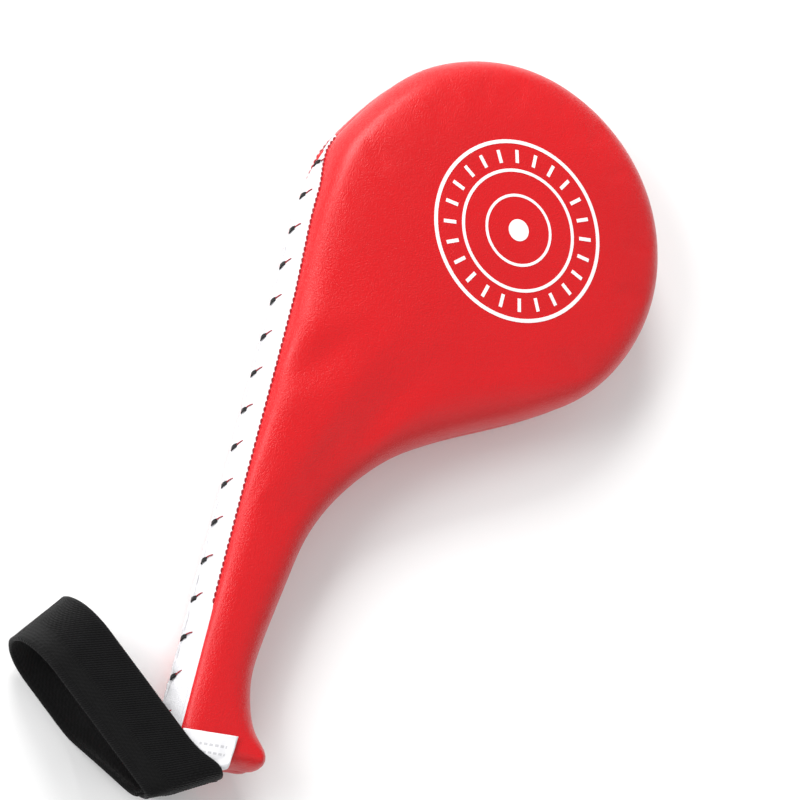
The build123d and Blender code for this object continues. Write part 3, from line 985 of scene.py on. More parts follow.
@dataclass
class Cover:
    """Red striking and back panels with the two white side strips between them."""

    form: PaddedForm
    roll: float = 0.4
    groove: float = 0.7
    tuck: float = 1.8
    spacing: float = 2.6
    strip_rows: int = 12
    strip_bulge: float = 0.9
    parting: float = 0.55
    edge_stitch_end: float = -222.0
    lace_top: float = 0.9
    lace_pitch: float = 18.5
    lace_count: int = 16
    pressure: float = 1.6
    frames: int = 14
    cap: float = 1.6
    sink: float = 0.5

    def lip(self, turn: float) -> Array:
        """Sideways shift near the edge: a proud rolled edge on the border, a groove elsewhere."""
        share = math.exp(-((turn / 0.1) ** 2))
        bordered = np.minimum(self.form.factor * 6.0, 1.0)
        return share * (self.groove * (1 - bordered) - self.roll * bordered)

    def ring(self, turn: float, side: Side) -> Array:
        """Points round the panel at one step between its edge, 0, and the flat face, 1."""
        form = self.form
        depth, rise = form.section(turn)
        flat = form.loop + form.normals * (depth + self.lip(turn))[:, None]
        height = form.start_b + (form.half_height(flat[:, 1]) - form.start_b) * rise
        return np.column_stack([flat, form.mid_z + side.value * height])

    def panel(self, side: Side, name: str) -> Object:
        """One red panel from its turned-in edge to the flat face.

        Args:
            side: front or back.
            name: the piece's name.

        Returns:
            The panel.
        """
        form = self.form
        hidden = form.start_b - 1.4 * form.factor
        rings = [
            form.place(form.start_a + self.groove + self.tuck, np.maximum(hidden, 0.0) + 0.1, side),
            form.place(form.start_a + 0.9, np.maximum(form.start_b - 0.9, 0.12), side),
        ]
        rings += [self.ring((step / form.steps) ** 1.15, side) for step in range(1, form.steps + 1)]
        spots, middle = form.fill(rings[-1], self.spacing)
        tops = form.mid_z + side.value * form.half_height(spots[:, 1])
        points = np.vstack([*rings, np.column_stack([spots, tops])])
        columns = len(form.loop)
        faces = grid_faces(len(rings), columns, True, side is Side.BACK)
        shift = (len(rings) - 1) * columns
        for face in middle:
            moved = tuple(corner + shift for corner in face)
            faces.append(moved if side is Side.FRONT else moved[::-1])
        points = form.swell(points, side)
        piece = make_piece(name, points, faces)
        along = [np.full(columns, 0.0), np.full(columns, 0.2)]
        along += [np.linalg.norm(ring - rings[1], axis=1) for ring in rings[2:]]
        far = nearest(spots, form.loop)
        store(piece, "seam_gap", np.concatenate([*along, far]) * MM)
        return piece

    def strip_columns(self) -> Array:
        """Numbers of the outline points that carry the white border, from the head to the butt."""
        found = np.nonzero(self.form.factor > 0)[0]
        return np.concatenate([[found[0] - 1], found, [found[-1] + 1]])

    def gape(self, y: Array) -> Array:
        """How far the laced edges part: 0 at a stitch, 1 half way between two."""
        share = (self.lace_top - y) / self.lace_pitch
        laced = (share > -0.5) & (share < self.lace_count - 0.5)
        return np.where(laced, np.sin(np.pi * share) ** 2, 0.5)

    def strip_depth(self, pick: Array, height: Array | float) -> Array:
        """How far in from the outline a strip's face lies at a height above the middle plane."""
        wide, tall = self.form.start_a[pick], np.maximum(self.form.start_b[pick], 0.4)
        turn = np.clip(np.abs(height) / tall, 0, 1)
        return 0.12 + wide * turn**1.15 - self.strip_bulge * np.sin(np.pi * turn) * self.form.factor[pick]

    def strip(self, side: Side, name: str) -> Object:
        """One white side strip, puckered at each stitch.

        Args:
            side: front or back.
            name: the piece's name.

        Returns:
            The strip.
        """
        form = self.form
        pick = self.strip_columns()
        base, normal = form.loop[pick], form.normals[pick]
        share = form.factor[pick]
        wide, tall = form.start_a[pick], form.start_b[pick]
        gape = self.gape(base[:, 1])
        pinch = (1 - gape) ** 5
        near_handle = eased((-150.0 - base[:, 1]) / 60.0)
        low_down = eased((self.edge_stitch_end + 8.0 - base[:, 1]) / 16.0)
        rows, gaps = [], []
        for depth, height in ((2.6, 0.9), (1.5, 0.35), (0.7, 0.12)):
            a = depth + 0.5 * pinch
            b = height + self.parting * gape * share
            rows.append((a, b))
            gaps.append(np.zeros(len(pick)))
        for row in range(self.strip_rows + 1):
            turn = row / self.strip_rows
            bulge = self.strip_bulge * math.sin(math.pi * turn) * share
            a = 0.12 + wide * turn**1.15 - bulge + 0.9 * pinch * math.exp(-((turn / 0.22) ** 2))
            b = 0.3 + self.parting * gape * share * (1 - turn) + (tall - 0.3) * turn
            rows.append((a, b))
            gaps.append(np.minimum(tall * turn, tall * (1 - turn) + 1.0))
        edge = (wide - 0.35 - 0.5 * low_down * share, tall + 0.1 * low_down)
        roll = (wide + 0.1 - 0.3 * low_down * share, tall + 0.55 * low_down * share + 0.3)
        rows[-1:] = [edge, roll, (wide + 1.1, tall + 0.5)]
        gaps += [np.zeros(len(pick)), np.zeros(len(pick))]
        points = []
        for number, (a, b) in enumerate(rows):
            wrinkle = np.array([
                noise.noise(Vector((x * 0.05, y * 0.16, number * 0.22 + 5 * side.value)))
                + 0.6 * noise.noise(Vector((9.0, y * 0.42, number * 0.4 + 5 * side.value)))
                for x, y in base.tolist()
            ])
            loose = 1.0 if 3 <= number <= self.strip_rows + 2 else 0.0
            a = a + wrinkle * (0.2 + 0.5 * near_handle) * loose * share
            flat = base + normal * a[:, None]
            points.append(np.column_stack([flat, form.mid_z + side.value * b]))
        faces = grid_faces(len(points), len(pick), False, side is Side.BACK)
        piece = make_piece(name, np.vstack(points), faces)
        store(piece, "seam_gap", np.concatenate(gaps) * MM)
        return piece

    def inflate(self, panel: Object, side: Side) -> None:
        """Lets the panel settle as cloth over padding that it can't sink into, held at its sewn edges.

        Args:
            panel: the panel, with its edge rings first.
            side: front or back.
        """
        columns = len(self.form.loop)
        mesh = panel.data
        rest = np.empty(len(mesh.vertices) * 3)
        mesh.vertices.foreach_get("co", rest)
        rest = rest.reshape(-1, 3)
        out = np.array([corner.vector[:] for corner in mesh.vertex_normals])
        sewn = panel.vertex_groups.new(name="sewn")
        sewn.add(list(range(columns * 4)), 1.0, "REPLACE")
        cloth = panel.modifiers.new("fabric", "CLOTH")
        fabric = cloth.settings
        fabric.quality = 4
        fabric.mass = 0.25
        fabric.tension_stiffness = fabric.compression_stiffness = 20.0
        fabric.shear_stiffness = 8.0
        fabric.bending_stiffness = 6.0
        fabric.use_pressure = True
        fabric.uniform_pressure_force = self.pressure
        fabric.vertex_group_mass = "sewn"
        fabric.effector_weights.gravity = 0.0
        cloth.point_cache.frame_start, cloth.point_cache.frame_end = 1, self.frames
        for number in range(1, self.frames + 1):
            bpy.context.scene.frame_set(number)
        ready = panel.evaluated_get(bpy.context.evaluated_depsgraph_get()).data
        moved = np.empty(len(rest) * 3)
        ready.vertices.foreach_get("co", moved)
        panel.modifiers.remove(cloth)
        bpy.context.scene.frame_set(1)
        shift = moved.reshape(-1, 3) - rest
        length = np.linalg.norm(shift, axis=1, keepdims=True)
        LOG.info("%s: cloth moved up to %.1f mm", panel.name, float(length.max()) / MM)
        cap = self.cap * MM
        shift *= cap * np.tanh(length / cap) / np.maximum(length, 1e-9)
        rise = (shift * out).sum(axis=1)
        shift += out * (np.maximum(rise, -self.sink * MM) - rise)[:, None]
        rest += shift
        if side is Side.BACK:
            rest[:, 2] = np.maximum(rest[:, 2], 0.0)
        mesh.vertices.foreach_set("co", rest.ravel())
        mesh.update()

    def build(self) -> dict[Side, Object]:
        """Makes and dresses the four pieces; returns the red panels."""
        panels = {}
        for side, word in ((Side.FRONT, "front"), (Side.BACK, "back")):
            panel = self.panel(side, f"{word}_red_panel")
            self.inflate(panel, side)
            settle(panel, RED, Body.PADDLE, "red_leather", f"{word}_cover")
            panels[side] = panel
            strip = self.strip(side, f"{word}_white_strip")
            settle(strip, WHITE, Body.PADDLE, "white_leather", f"{word}_side_strip")
        return panels


@dataclass
class Filling:
    """Soft pads, firm layers and grip foam inside the cover, and the stiff board."""

    form: PaddedForm
    inset: float = 3.4
    board_half: float = 1.6
    firm_top: float = 10.0
    split_y: float = -161.0

    def half(self, side: Side) -> Object:
        """Closed padding of one half, flat against the board."""
        form = self.form
        base = np.full(len(form.loop), self.board_half)
        rings = [form.place(np.full(len(form.loop), self.inset + 0.6), base, side)]
        for step in range(1, 11):
            depth, rise = form.section(step / 10, self.inset)
            flat = form.loop + form.normals * depth[:, None]
            low = np.maximum(form.start_b - self.inset, self.board_half)
            height = low + (form.half_height(flat[:, 1]) - self.inset - low) * rise
            rings.append(np.column_stack([flat, form.mid_z + side.value * height]))
        spots, middle = form.fill(rings[-1], 6.0)
        top = form.mid_z + side.value * (form.half_height(spots[:, 1]) - self.inset)
        points = np.vstack([*rings, np.column_stack([spots, top])])
        columns = len(form.loop)
        faces = grid_faces(len(rings), columns, True)
        shift = (len(rings) - 1) * columns
        faces += [tuple(corner + shift for corner in face) for face in middle]
        faces.append(tuple(range(columns))[::-1])
        if side is Side.BACK:
            faces = [face[::-1] for face in faces]
        return make_piece("padding_half", points, faces)

    def cut(self, source: Object, name: str, planes: list[tuple[Vector, Vector]]) -> Object:
        """Copy of a closed shape, trimmed by planes and closed again.

        Args:
            source: the closed shape.
            name: the new piece's name.
            planes: a point in millimetres and an outward direction of each cut.

        Returns:
            The trimmed piece.
        """
        work = bmesh.new()
        work.from_mesh(source.data)
        for point, out in planes:
            parts = work.verts[:] + work.edges[:] + work.faces[:]
            made = bmesh.ops.bisect_plane(
                work, geom=parts, plane_co=point * MM, plane_no=out, clear_outer=True, dist=1e-7
            )
            rim = [part for part in made["geom_cut"] if isinstance(part, bmesh.types.BMEdge)]
            bmesh.ops.triangle_fill(work, use_beauty=True, use_dissolve=False, edges=rim)
        bmesh.ops.recalc_face_normals(work, faces=work.faces[:])
        mesh = bpy.data.meshes.new(name)
        work.to_mesh(mesh)
        work.free()
        mesh.shade_smooth()
        mesh.set_sharp_from_angle(angle=math.radians(40))
        return add_object(name, mesh)

    def build(self) -> None:
        """Makes the layers of both halves and dresses the board."""
        for side, word in ((Side.FRONT, "front"), (Side.BACK, "back")):
            whole = self.half(side)
            up = Vector((0, 0, side.value))
            level = Vector((0, 0, self.form.mid_z + side.value * self.firm_top))
            neck, down = Vector((0, self.split_y, 0)), Vector((0, -1, 0))
            layers = (
                ("soft_foam", SOFT_FOAM, "soft_foam", "soft_pad", [(level, -up), (neck, down)], 0.9),
                ("firm_foam", FIRM_FOAM, "firm_foam", "firm_layer", [(level, up), (neck, down)], 1.0),
                ("grip_padding", SOFT_FOAM, "soft_foam", "grip_foam", [(neck, -down)], 0.95),
            )
            for label, finish, slot, node, planes, fill in layers:
                piece = self.cut(whole, f"{word}_{label}", planes)
                settle(piece, finish, Body.PADDLE, slot, f"{word}_{node}")
            bpy.data.objects.remove(whole)
        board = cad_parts["core_board"]
        board.data.materials.clear()
        board.data.materials.append(BOARD.material())


# --- Threads ---------------------------------------------------------------------------
@dataclass
class StitchTree:
    """Geometry Nodes tree that lays bent thread strands along a path.

    The path is a chain of edges that keeps the direction it faces on each point.
    """

    name: str = "thread_stitches"
    sizes: tuple[tuple[str, str, float], ...] = (
        ("Pitch", "NodeSocketFloat", 0.003),
        ("Length", "NodeSocketFloat", 0.002),
        ("Thread", "NodeSocketFloat", 0.0006),
        ("Rise", "NodeSocketFloat", 0.0005),
        ("Dip", "NodeSocketFloat", 0.0003),
        ("Turn", "NodeSocketFloat", 0.0),
        ("Strands", "NodeSocketInt", 1),
        ("Spread", "NodeSocketFloat", 0.0005),
        ("Jitter", "NodeSocketFloat", 0.05),
        ("Seed", "NodeSocketInt", 7),
    )

    def tree(self) -> bpy.types.NodeTree:
        """The node tree, built on first use."""
        found = bpy.data.node_groups.get(self.name)
        if found:
            return found
        made = bpy.data.node_groups.new(self.name, "GeometryNodeTree")
        made.interface.new_socket(name="Path", in_out="INPUT", socket_type="NodeSocketGeometry")
        for label, kind, value in self.sizes:
            made.interface.new_socket(name=label, in_out="INPUT", socket_type=kind).default_value = value
        made.interface.new_socket(name="Finish", in_out="INPUT", socket_type="NodeSocketMaterial")
        made.interface.new_socket(name="Stitches", in_out="OUTPUT", socket_type="NodeSocketGeometry")
        self.fill(Wiring(made))
        return made

    def strand(self, wiring: Wiring, given: Node) -> Socket:
        """One bent strand, or several side by side.

        Args:
            wiring: the tree.
            given: the tree's input node.

        Returns:
            The strands' geometry.
        """
        half = wiring.maths("MULTIPLY", given.outputs["Length"], 0.5)
        quarter = wiring.maths("MULTIPLY", given.outputs["Length"], 0.3)
        dip = wiring.maths("MULTIPLY", given.outputs["Dip"], -1.0)
        bend = wiring.add("GeometryNodeCurvePrimitiveBezierSegment", mode="POSITION")
        bend.inputs["Resolution"].default_value = 7
        spots = (
            ("Start", -1.0, half, dip), ("Start Handle", -1.0, quarter, given.outputs["Rise"]),
            ("End Handle", 1.0, quarter, given.outputs["Rise"]), ("End", 1.0, half, dip),
        )
        for label, sign, reach, height in spots:
            point = wiring.add("ShaderNodeCombineXYZ")
            wiring.join(wiring.maths("MULTIPLY", reach, sign), point.inputs[0])
            wiring.join(height, point.inputs[2])
            wiring.join(point.outputs[0], bend.inputs[label])
        ring = wiring.add("GeometryNodeCurvePrimitiveCircle", mode="RADIUS")
        ring.inputs["Resolution"].default_value = 6
        wiring.join(wiring.maths("MULTIPLY", given.outputs["Thread"], 0.5), ring.inputs["Radius"])
        solid = wiring.add("GeometryNodeCurveToMesh")
        solid.inputs["Fill Caps"].default_value = True
        wiring.join(bend.outputs[0], solid.inputs["Curve"])
        wiring.join(ring.outputs[0], solid.inputs["Profile Curve"])
        row = wiring.add("GeometryNodeMeshLine", mode="OFFSET")
        wiring.join(given.outputs["Strands"], row.inputs["Count"])
        count = wiring.maths("SUBTRACT", given.outputs["Strands"], 1.0)
        first = wiring.add("ShaderNodeCombineXYZ")
        step = wiring.add("ShaderNodeCombineXYZ")
        back = wiring.maths("MULTIPLY", wiring.maths("MULTIPLY", count, given.outputs["Spread"]), -0.5)
        wiring.join(back, first.inputs[1])
        wiring.join(given.outputs["Spread"], step.inputs[1])
        wiring.join(first.outputs[0], row.inputs["Start Location"])
        wiring.join(step.outputs[0], row.inputs["Offset"])
        lay = wiring.add("GeometryNodeInstanceOnPoints")
        wiring.join(row.outputs[0], lay.inputs["Points"])
        wiring.join(solid.outputs[0], lay.inputs["Instance"])
        wiring.join(self.wander(wiring, given, 3), lay.inputs["Rotation"])
        return lay.outputs[0]

    def wander(self, wiring: Wiring, given: Node, extra: int) -> Socket:
        """Small random turn about the upright axis.

        Args:
            wiring: the tree.
            given: the tree's input node.
            extra: added to the seed.

        Returns:
            The rotation's socket.
        """
        lot = wiring.add("FunctionNodeRandomValue", data_type="FLOAT")
        seed = wiring.maths("ADD", given.outputs["Seed"], float(extra))
        wiring.join(wiring.maths("MULTIPLY", given.outputs["Jitter"], -1.0), lot.inputs[2])
        wiring.join(given.outputs["Jitter"], lot.inputs[3])
        wiring.join(seed, lot.inputs["Seed"])
        turn = wiring.add("FunctionNodeAxisAngleToRotation")
        turn.inputs["Axis"].default_value = (0, 0, 1)
        wiring.join(lot.outputs[1], turn.inputs["Angle"])
        return turn.outputs[0]

    def fill(self, wiring: Wiring) -> None:
        """Path to evenly spaced points, strands on them, made real."""
        given, result = wiring.add("NodeGroupInput"), wiring.add("NodeGroupOutput")
        chain = wiring.add("GeometryNodeMeshToCurve")
        wiring.join(given.outputs["Path"], chain.inputs[0])
        even = wiring.add("GeometryNodeResampleCurve", mode="LENGTH")
        wiring.join(chain.outputs[0], even.inputs["Curve"])
        wiring.join(given.outputs["Pitch"], even.inputs["Length"])
        facing = wiring.add("GeometryNodeInputNamedAttribute", data_type="FLOAT_VECTOR")
        facing.inputs["Name"].default_value = "facing"
        ahead = wiring.add("GeometryNodeInputTangent")
        frame_turn = wiring.add("FunctionNodeAxesToRotation", primary_axis="Z", secondary_axis="X")
        wiring.join(facing.outputs[0], frame_turn.inputs[0])
        wiring.join(ahead.outputs[0], frame_turn.inputs[1])
        slant = wiring.add("FunctionNodeAxisAngleToRotation")
        slant.inputs["Axis"].default_value = (0, 0, 1)
        wiring.join(given.outputs["Turn"], slant.inputs["Angle"])
        slanted = wiring.add("FunctionNodeRotateRotation", rotation_space="LOCAL")
        wiring.join(frame_turn.outputs[0], slanted.inputs[0])
        wiring.join(slant.outputs[0], slanted.inputs[1])
        uneven = wiring.add("FunctionNodeRotateRotation", rotation_space="LOCAL")
        wiring.join(slanted.outputs[0], uneven.inputs[0])
        wiring.join(self.wander(wiring, given, 0), uneven.inputs[1])
        lay = wiring.add("GeometryNodeInstanceOnPoints")
        wiring.join(even.outputs[0], lay.inputs["Points"])
        wiring.join(self.strand(wiring, given), lay.inputs["Instance"])
        wiring.join(uneven.outputs[0], lay.inputs["Rotation"])
        real = wiring.add("GeometryNodeRealizeInstances")
        wiring.join(lay.outputs[0], real.inputs[0])
        dressed = wiring.add("GeometryNodeSetMaterial")
        wiring.join(real.outputs[0], dressed.inputs["Geometry"])
        wiring.join(given.outputs["Finish"], dressed.inputs["Material"])
        wiring.join(dressed.outputs[0], result.inputs[0])


@dataclass
class ThreadRun:
    """One run of stitches along a path on the cover.

    Lengths are millimetres and turns are degrees from the path.
    """

    name: str
    finish: Thread
    slot: str
    pitch: float
    length: float
    thread: float
    rise: float
    dip: float
    turn: float = 0.0
    strands: int = 1
    spread: float = 0.5
    jitter: float = 3.0
    seed: int = 7
    count: int = 0

    def lay(self, path: Array, facing: Array, *nodes: str) -> Object:
        """Lays the stitches.

        Args:
            path: points of the path.
            facing: direction away from the cover at each point.
            *nodes: frame nodes that the run stands for.

        Returns:
            The plain mesh of all its stitches.
        """
        guide = bpy.data.meshes.new(f"{self.name}_guide")
        guide.from_pydata((path * MM).tolist(), [(k, k + 1) for k in range(len(path) - 1)], [])
        layer = guide.attributes.new("facing", "FLOAT_VECTOR", "POINT")
        layer.data.foreach_set("vector", np.asarray(facing, np.float32).ravel())
        holder = add_object(f"{self.name}_guide", guide)
        grown = holder.modifiers.new("stitches", "NODES")
        grown.node_group = StitchTree().tree()
        run = float(np.linalg.norm(np.diff(path, axis=0), axis=1).sum())
        pitch = run / (self.count - 1) * 0.999 if self.count else self.pitch
        values = {
            "Pitch": pitch * MM, "Length": self.length * MM, "Thread": self.thread * MM,
            "Rise": self.rise * MM, "Dip": self.dip * MM, "Turn": math.radians(self.turn),
            "Strands": self.strands, "Spread": self.spread * MM,
            "Jitter": math.radians(self.jitter), "Seed": self.seed, "Finish": self.finish.material(),
        }
        for item in grown.node_group.interface.items_tree:
            if item.in_out == "INPUT" and item.name in values:
                grown[item.identifier] = values[item.name]
        bpy.context.view_layer.update()
        ready = holder.evaluated_get(bpy.context.evaluated_depsgraph_get())
        mesh = bpy.data.meshes.new_from_object(ready)
        holder.modifiers.clear()
        bpy.data.objects.remove(holder)
        mesh.name = self.name
        mesh.shade_smooth()
        piece = add_object(self.name, mesh)
        return settle(piece, self.finish, Body.PADDLE, self.slot, *nodes)


@dataclass
class Stitching:
    """Dashed seams on the red edges, the black lacing, its tails and the red tongue."""

    cover: Cover
    tongue_top: float = 10.5

    def edge_path(self, side: Side) -> tuple[Array, Array]:
        """Path of the dashed seam along one border and the way that it faces."""
        form, pick = self.cover.form, self.cover.strip_columns()[2:-5]
        pick = pick[form.loop[pick, 1] > self.cover.edge_stitch_end]
        path = self.cover.ring(0.045, side)[pick]
        out = -form.normals[pick]
        path = path + np.column_stack([out * 0.3, np.zeros(len(pick))])
        facing = np.column_stack([out * 0.86, np.full(len(pick), 0.5 * side.value)])
        return spaced(path, 1.0, False), self.matched(path, facing)

    def matched(self, path: Array, facing: Array) -> Array:
        """Facing directions brought to the spacing of the evened path."""
        lengths = run_lengths(path)
        even = spaced(path, 1.0, False)
        marks = np.linspace(0, lengths[-1], len(even))
        return resampled(marks, lengths, facing)

    def seam_places(self, y: Array) -> tuple[Array, Array, Array, Array]:
        """Laced seam at places along the paddle.

        Args:
            y: the places, along Y.

        Returns:
            Numbers of the seam's outline points from the butt up, and at each place X and the inward normal.
        """
        form = self.cover.form
        pick = self.cover.strip_columns()[1:-1]
        order = pick[np.argsort(form.loop[pick, 1])]
        heights = form.loop[order, 1]
        x = np.interp(y, heights, form.loop[order, 0])
        nx = np.interp(y, heights, form.normals[order, 0])
        ny = np.interp(y, heights, form.normals[order, 1])
        return order, x, nx, ny

    def seam_path(self, out: float, up: float, shift: float) -> tuple[Array, Array]:
        """Path along the lacing, one point per stitch place.

        Args:
            out: how far the path stands off the laced seam.
            up: height above the middle plane.
            shift: distance along the seam towards the head.

        Returns:
            The path and its facing directions.
        """
        form, cover = self.cover.form, self.cover
        y = cover.lace_top + shift - np.arange(cover.lace_count) * cover.lace_pitch
        order, x, nx, ny = self.seam_places(y)
        depth = np.interp(y, form.loop[order, 1], cover.strip_depth(order, up)) - out
        flat = np.column_stack([x + nx * depth, y + ny * depth])
        path = np.column_stack([flat, np.full(len(y), form.mid_z + up)])
        tilt = 0.45 if up else 0.0
        facing = np.column_stack([-nx, -ny, np.full(len(y), tilt)])
        return path, facing

    def tongue(self) -> Object:
        """Leaf of red fabric that shows between the strips above the first stitch."""
        form = self.cover.form
        y = np.linspace(self.cover.lace_top + 1.0, self.tongue_top, 26)
        _, x, nx, ny = self.seam_places(y)
        share = np.sin(np.pi * np.linspace(0.02, 0.98, len(y))) ** 0.8
        rows = []
        for turn in np.linspace(-1, 1, 13):
            b = turn * 1.5 * share
            bulge = 0.55 * share * math.cos(turn * math.pi / 2)
            a = 0.9 * (1 - share) - bulge + 0.25 * math.exp(-((turn / 0.2) ** 2)) * share
            a = a + 1.4 * (abs(turn) > 0.99)
            rows.append(np.column_stack([x + nx * a, y + ny * a, form.mid_z + b]))
        piece = make_piece("top_tongue", np.vstack(rows), grid_faces(len(rows), len(y), False, True))
        store(piece, "seam_gap", np.full(len(rows) * len(y), 1.5) * MM)
        return settle(piece, RED, Body.PADDLE, "red_leather", "closure_tongue")

    def build(self) -> None:
        """Lays every run."""
        for side, word in ((Side.FRONT, "front"), (Side.BACK, "back")):
            path, facing = self.edge_path(side)
            run = ThreadRun(
                f"{word}_edge_stitches", RED_THREAD, "dark_red_thread", 2.9, 2.0, 0.8, 0.4, 0.5,
                turn=6.0 * side.value, seed=3,
            )
            run.lay(path, facing, f"{word}_seam_thread")
        path, facing = self.seam_path(-0.55, 0.0, 0.0)
        path[:, 2] += 0.9
        ThreadRun(
            "black_lacing", BLACK_THREAD, "black_thread", self.cover.lace_pitch, 5.4, 0.8, 0.7, 0.3,
            turn=95.0, strands=4, spread=0.48, jitter=7.0, seed=11, count=self.cover.lace_count,
        ).lay(path, facing, "closure_lacing")
        path, facing = self.seam_path(0.25, 5.2, 1.9)
        ThreadRun(
            "red_lacing_tails", RED_THREAD, "dark_red_thread", self.cover.lace_pitch, 3.6, 0.65, 0.3, 0.2,
            turn=124.0, jitter=12.0, seed=5, count=self.cover.lace_count,
        ).lay(path, facing, "closure_ticks")
        self.tongue()


# --- Print, label, band ----------------------------------------------------------------
class Surface:
    """Height of a finished panel at places in the plane."""

    def __init__(self, piece: Object) -> None:
        """Keeps a search tree of the piece's faces."""
        self.tree = BVHTree.FromObject(piece, bpy.context.evaluated_depsgraph_get())

    def heights(self, flat: Array, fallback: float) -> Array:
        """Height in millimetres at each place, or the fallback off the panel."""
        found = []
        for x, y in flat.tolist():
            hit = self.tree.ray_cast(Vector((x * MM, y * MM, 0.1)), Vector((0, 0, -1)))
            found.append(hit[0].z / MM if hit[0] else fallback)
        return np.array(found)


@dataclass
class PrintedTarget:
    """Generic printed target: rings and ticks on the striking face."""

    surface: Surface
    at: Point = (2.5, -1.0)
    rings: tuple[Point, ...] = ((43.8, 45.7), (29.3, 30.9), (16.8, 18.2), (0.0, 5.5))
    ticks: int = 24
    tick_span: Point = (34.0, 40.6)
    tick_width: float = 1.8
    thickness: float = 0.14

    def patch(self, top: Array, faces: Faces, rim: list[int]) -> tuple[Array, Faces]:
        """Thin layer of ink with closed sides.

        Args:
            top: places in the plane.
            faces: faces over them, anticlockwise.
            rim: outer border's point numbers, anticlockwise.

        Returns:
            Points and faces of the layer.
        """
        height = self.surface.heights(top, 44.0)
        upper = np.column_stack([top, height + self.thickness])
        lower = np.column_stack([top[rim], height[rim] - 0.15])
        start = len(top)
        walls = [
            (start + k, start + (k + 1) % len(rim), rim[(k + 1) % len(rim)], rim[k]) for k in range(len(rim))
        ]
        return np.vstack([upper, lower]), faces + walls

    def ring(self, inner: float, outer: float) -> list[tuple[Array, Faces]]:
        """Ring or, with no inner radius, a disc."""
        count = 192 if outer > 20 else 120
        radii = np.linspace(inner, outer, 4) if inner else np.linspace(0.0, outer, 6)[1:]
        turns = np.linspace(0, math.tau, count, endpoint=False)
        rows = [
            np.column_stack([self.at[0] + radius * np.cos(turns), self.at[1] + radius * np.sin(turns)])
            for radius in radii
        ]
        faces = grid_faces(len(rows), count, True, True)
        points = np.vstack(rows)
        last = (len(rows) - 1) * count
        rim = list(range(last, last + count))
        if not inner:
            points = np.vstack([points, [self.at]])
            faces += [(k, (k + 1) % count, len(points) - 1) for k in range(count)]
        made = [self.patch(points, faces, rim)]
        if inner:
            made.append(self.patch(points, [], list(range(count))[::-1]))
        return made

    def tick(self, angle: float) -> tuple[Array, Faces]:
        """One short radial bar."""
        along = np.linspace(*self.tick_span, 6)
        across = np.linspace(-0.5, 0.5, 3) * self.tick_width
        grid = np.array([(r, w) for w in across for r in along])
        turn = np.array([[math.cos(angle), math.sin(angle)], [-math.sin(angle), math.cos(angle)]])
        points = grid @ turn + np.array(self.at)
        faces = grid_faces(3, 6, False)
        rim = [0, 1, 2, 3, 4, 5, 11, 17, 16, 15, 14, 13, 12, 6]
        return self.patch(points, faces, rim)

    def build(self) -> Object:
        """Makes the whole print as one piece."""
        parts = []
        for inner, outer in self.rings:
            parts += self.ring(inner, outer)
        parts += [self.tick(number * math.tau / self.ticks) for number in range(self.ticks)]
        points, faces, start = [], [], 0
        for spots, patch in parts:
            points.append(spots)
            faces += [tuple(corner + start for corner in face) for face in patch]
            start += len(spots)
        piece = make_piece("printed_target", np.vstack(points), faces)
        piece.data.set_sharp_from_angle(angle=math.radians(50))
        return settle(piece, INK, Body.PADDLE, "white_print", "target_print")


@dataclass
class CareLabel:
    """Satin label that lies on the face and is sewn into the butt seam."""

    surface: Surface
    width: float = 26.0
    corner: Point = (-96.4, -281.6)
    turn: float = 8.0
    long_side: float = 22.5
    short_side: float = 11.5
    tail: float = 11.0
    pull: float = 0.17
    lift: float = 0.55
    thickness: float = 0.22

    def fold(self, u: float) -> float:
        """Length of the label that lies on the face, at a distance across it."""
        return self.long_side + (self.short_side - self.long_side) * u / self.width

    def spot(self, u: float, v: float) -> tuple[float, float, float, float]:
        """Place of one point of the label before it settles on the handle.

        Args:
            u: distance across the label.
            v: distance down the label.

        Returns:
            The place in the plane, how far down the butt end it hangs, and the run past the fold.
        """
        turn = math.radians(self.turn)
        fold = self.fold(u)
        over = max(v - fold, 0.0)
        radius = 3.2
        bend = min(over / (radius * math.pi / 2), 1.0) * math.pi / 2
        reach = min(v, fold) + radius * math.sin(bend)
        hang = radius * (1 - math.cos(bend)) + max(over - radius * math.pi / 2, 0.0)
        across = u - self.pull * min(v, fold) * u / self.width
        x = self.corner[0] + math.cos(turn) * across + math.sin(turn) * reach
        y = self.corner[1] + math.sin(turn) * across - math.cos(turn) * reach
        return x, y, hang, over

    def build(self) -> Object:
        """Lays the label over the handle and turns its end down at the butt."""
        columns, rows = 27, 40
        cut, places = [], []
        for row in range(rows):
            for column in range(columns):
                u = self.width * column / (columns - 1)
                v = (self.fold(u) + self.tail) * row / (rows - 1)
                cut.append((u, v))
                places.append(self.spot(u, v))
        level = self.surface.heights(np.array([place[:2] for place in places]), 30.0)
        points = []
        for (u, v), (x, y, hang, over), z in zip(cut, places, level):
            curl = 1.3 * math.exp(-v / 4.0) * (0.3 + 0.7 * u / self.width)
            curl += 0.8 * math.exp(-(self.width - u) / 3.5) * math.exp(-(((v - 7) / 7.0) ** 2))
            wave = 0.22 * math.sin(u * 0.38 + v * 0.25) + 0.12 * math.sin(u * 0.9 - v * 0.4)
            held = max(z, 38.7) if over < 0.01 else 38.9
            points.append((x, y, held + self.lift + (curl + wave) * (1 - min(over / 3.0, 1.0)) - hang))
        smoothed = softened(np.array(points).reshape(rows, columns, 3), 1, closed=False).reshape(-1, 3)
        piece = make_piece("care_tag", smoothed, grid_faces(rows, columns, False, True))
        layer = piece.data.uv_layers.new(name="tag_map")
        for loop in piece.data.loops:
            u, v = cut[loop.vertex_index]
            layer.data[loop.index].uv = (u * MM, v * MM)
        wall = piece.modifiers.new("wall", "SOLIDIFY")
        wall.thickness, wall.offset = self.thickness * MM, 0.0
        settle(piece, SATIN, Body.PADDLE, "satin_label", "care_label")
        return piece


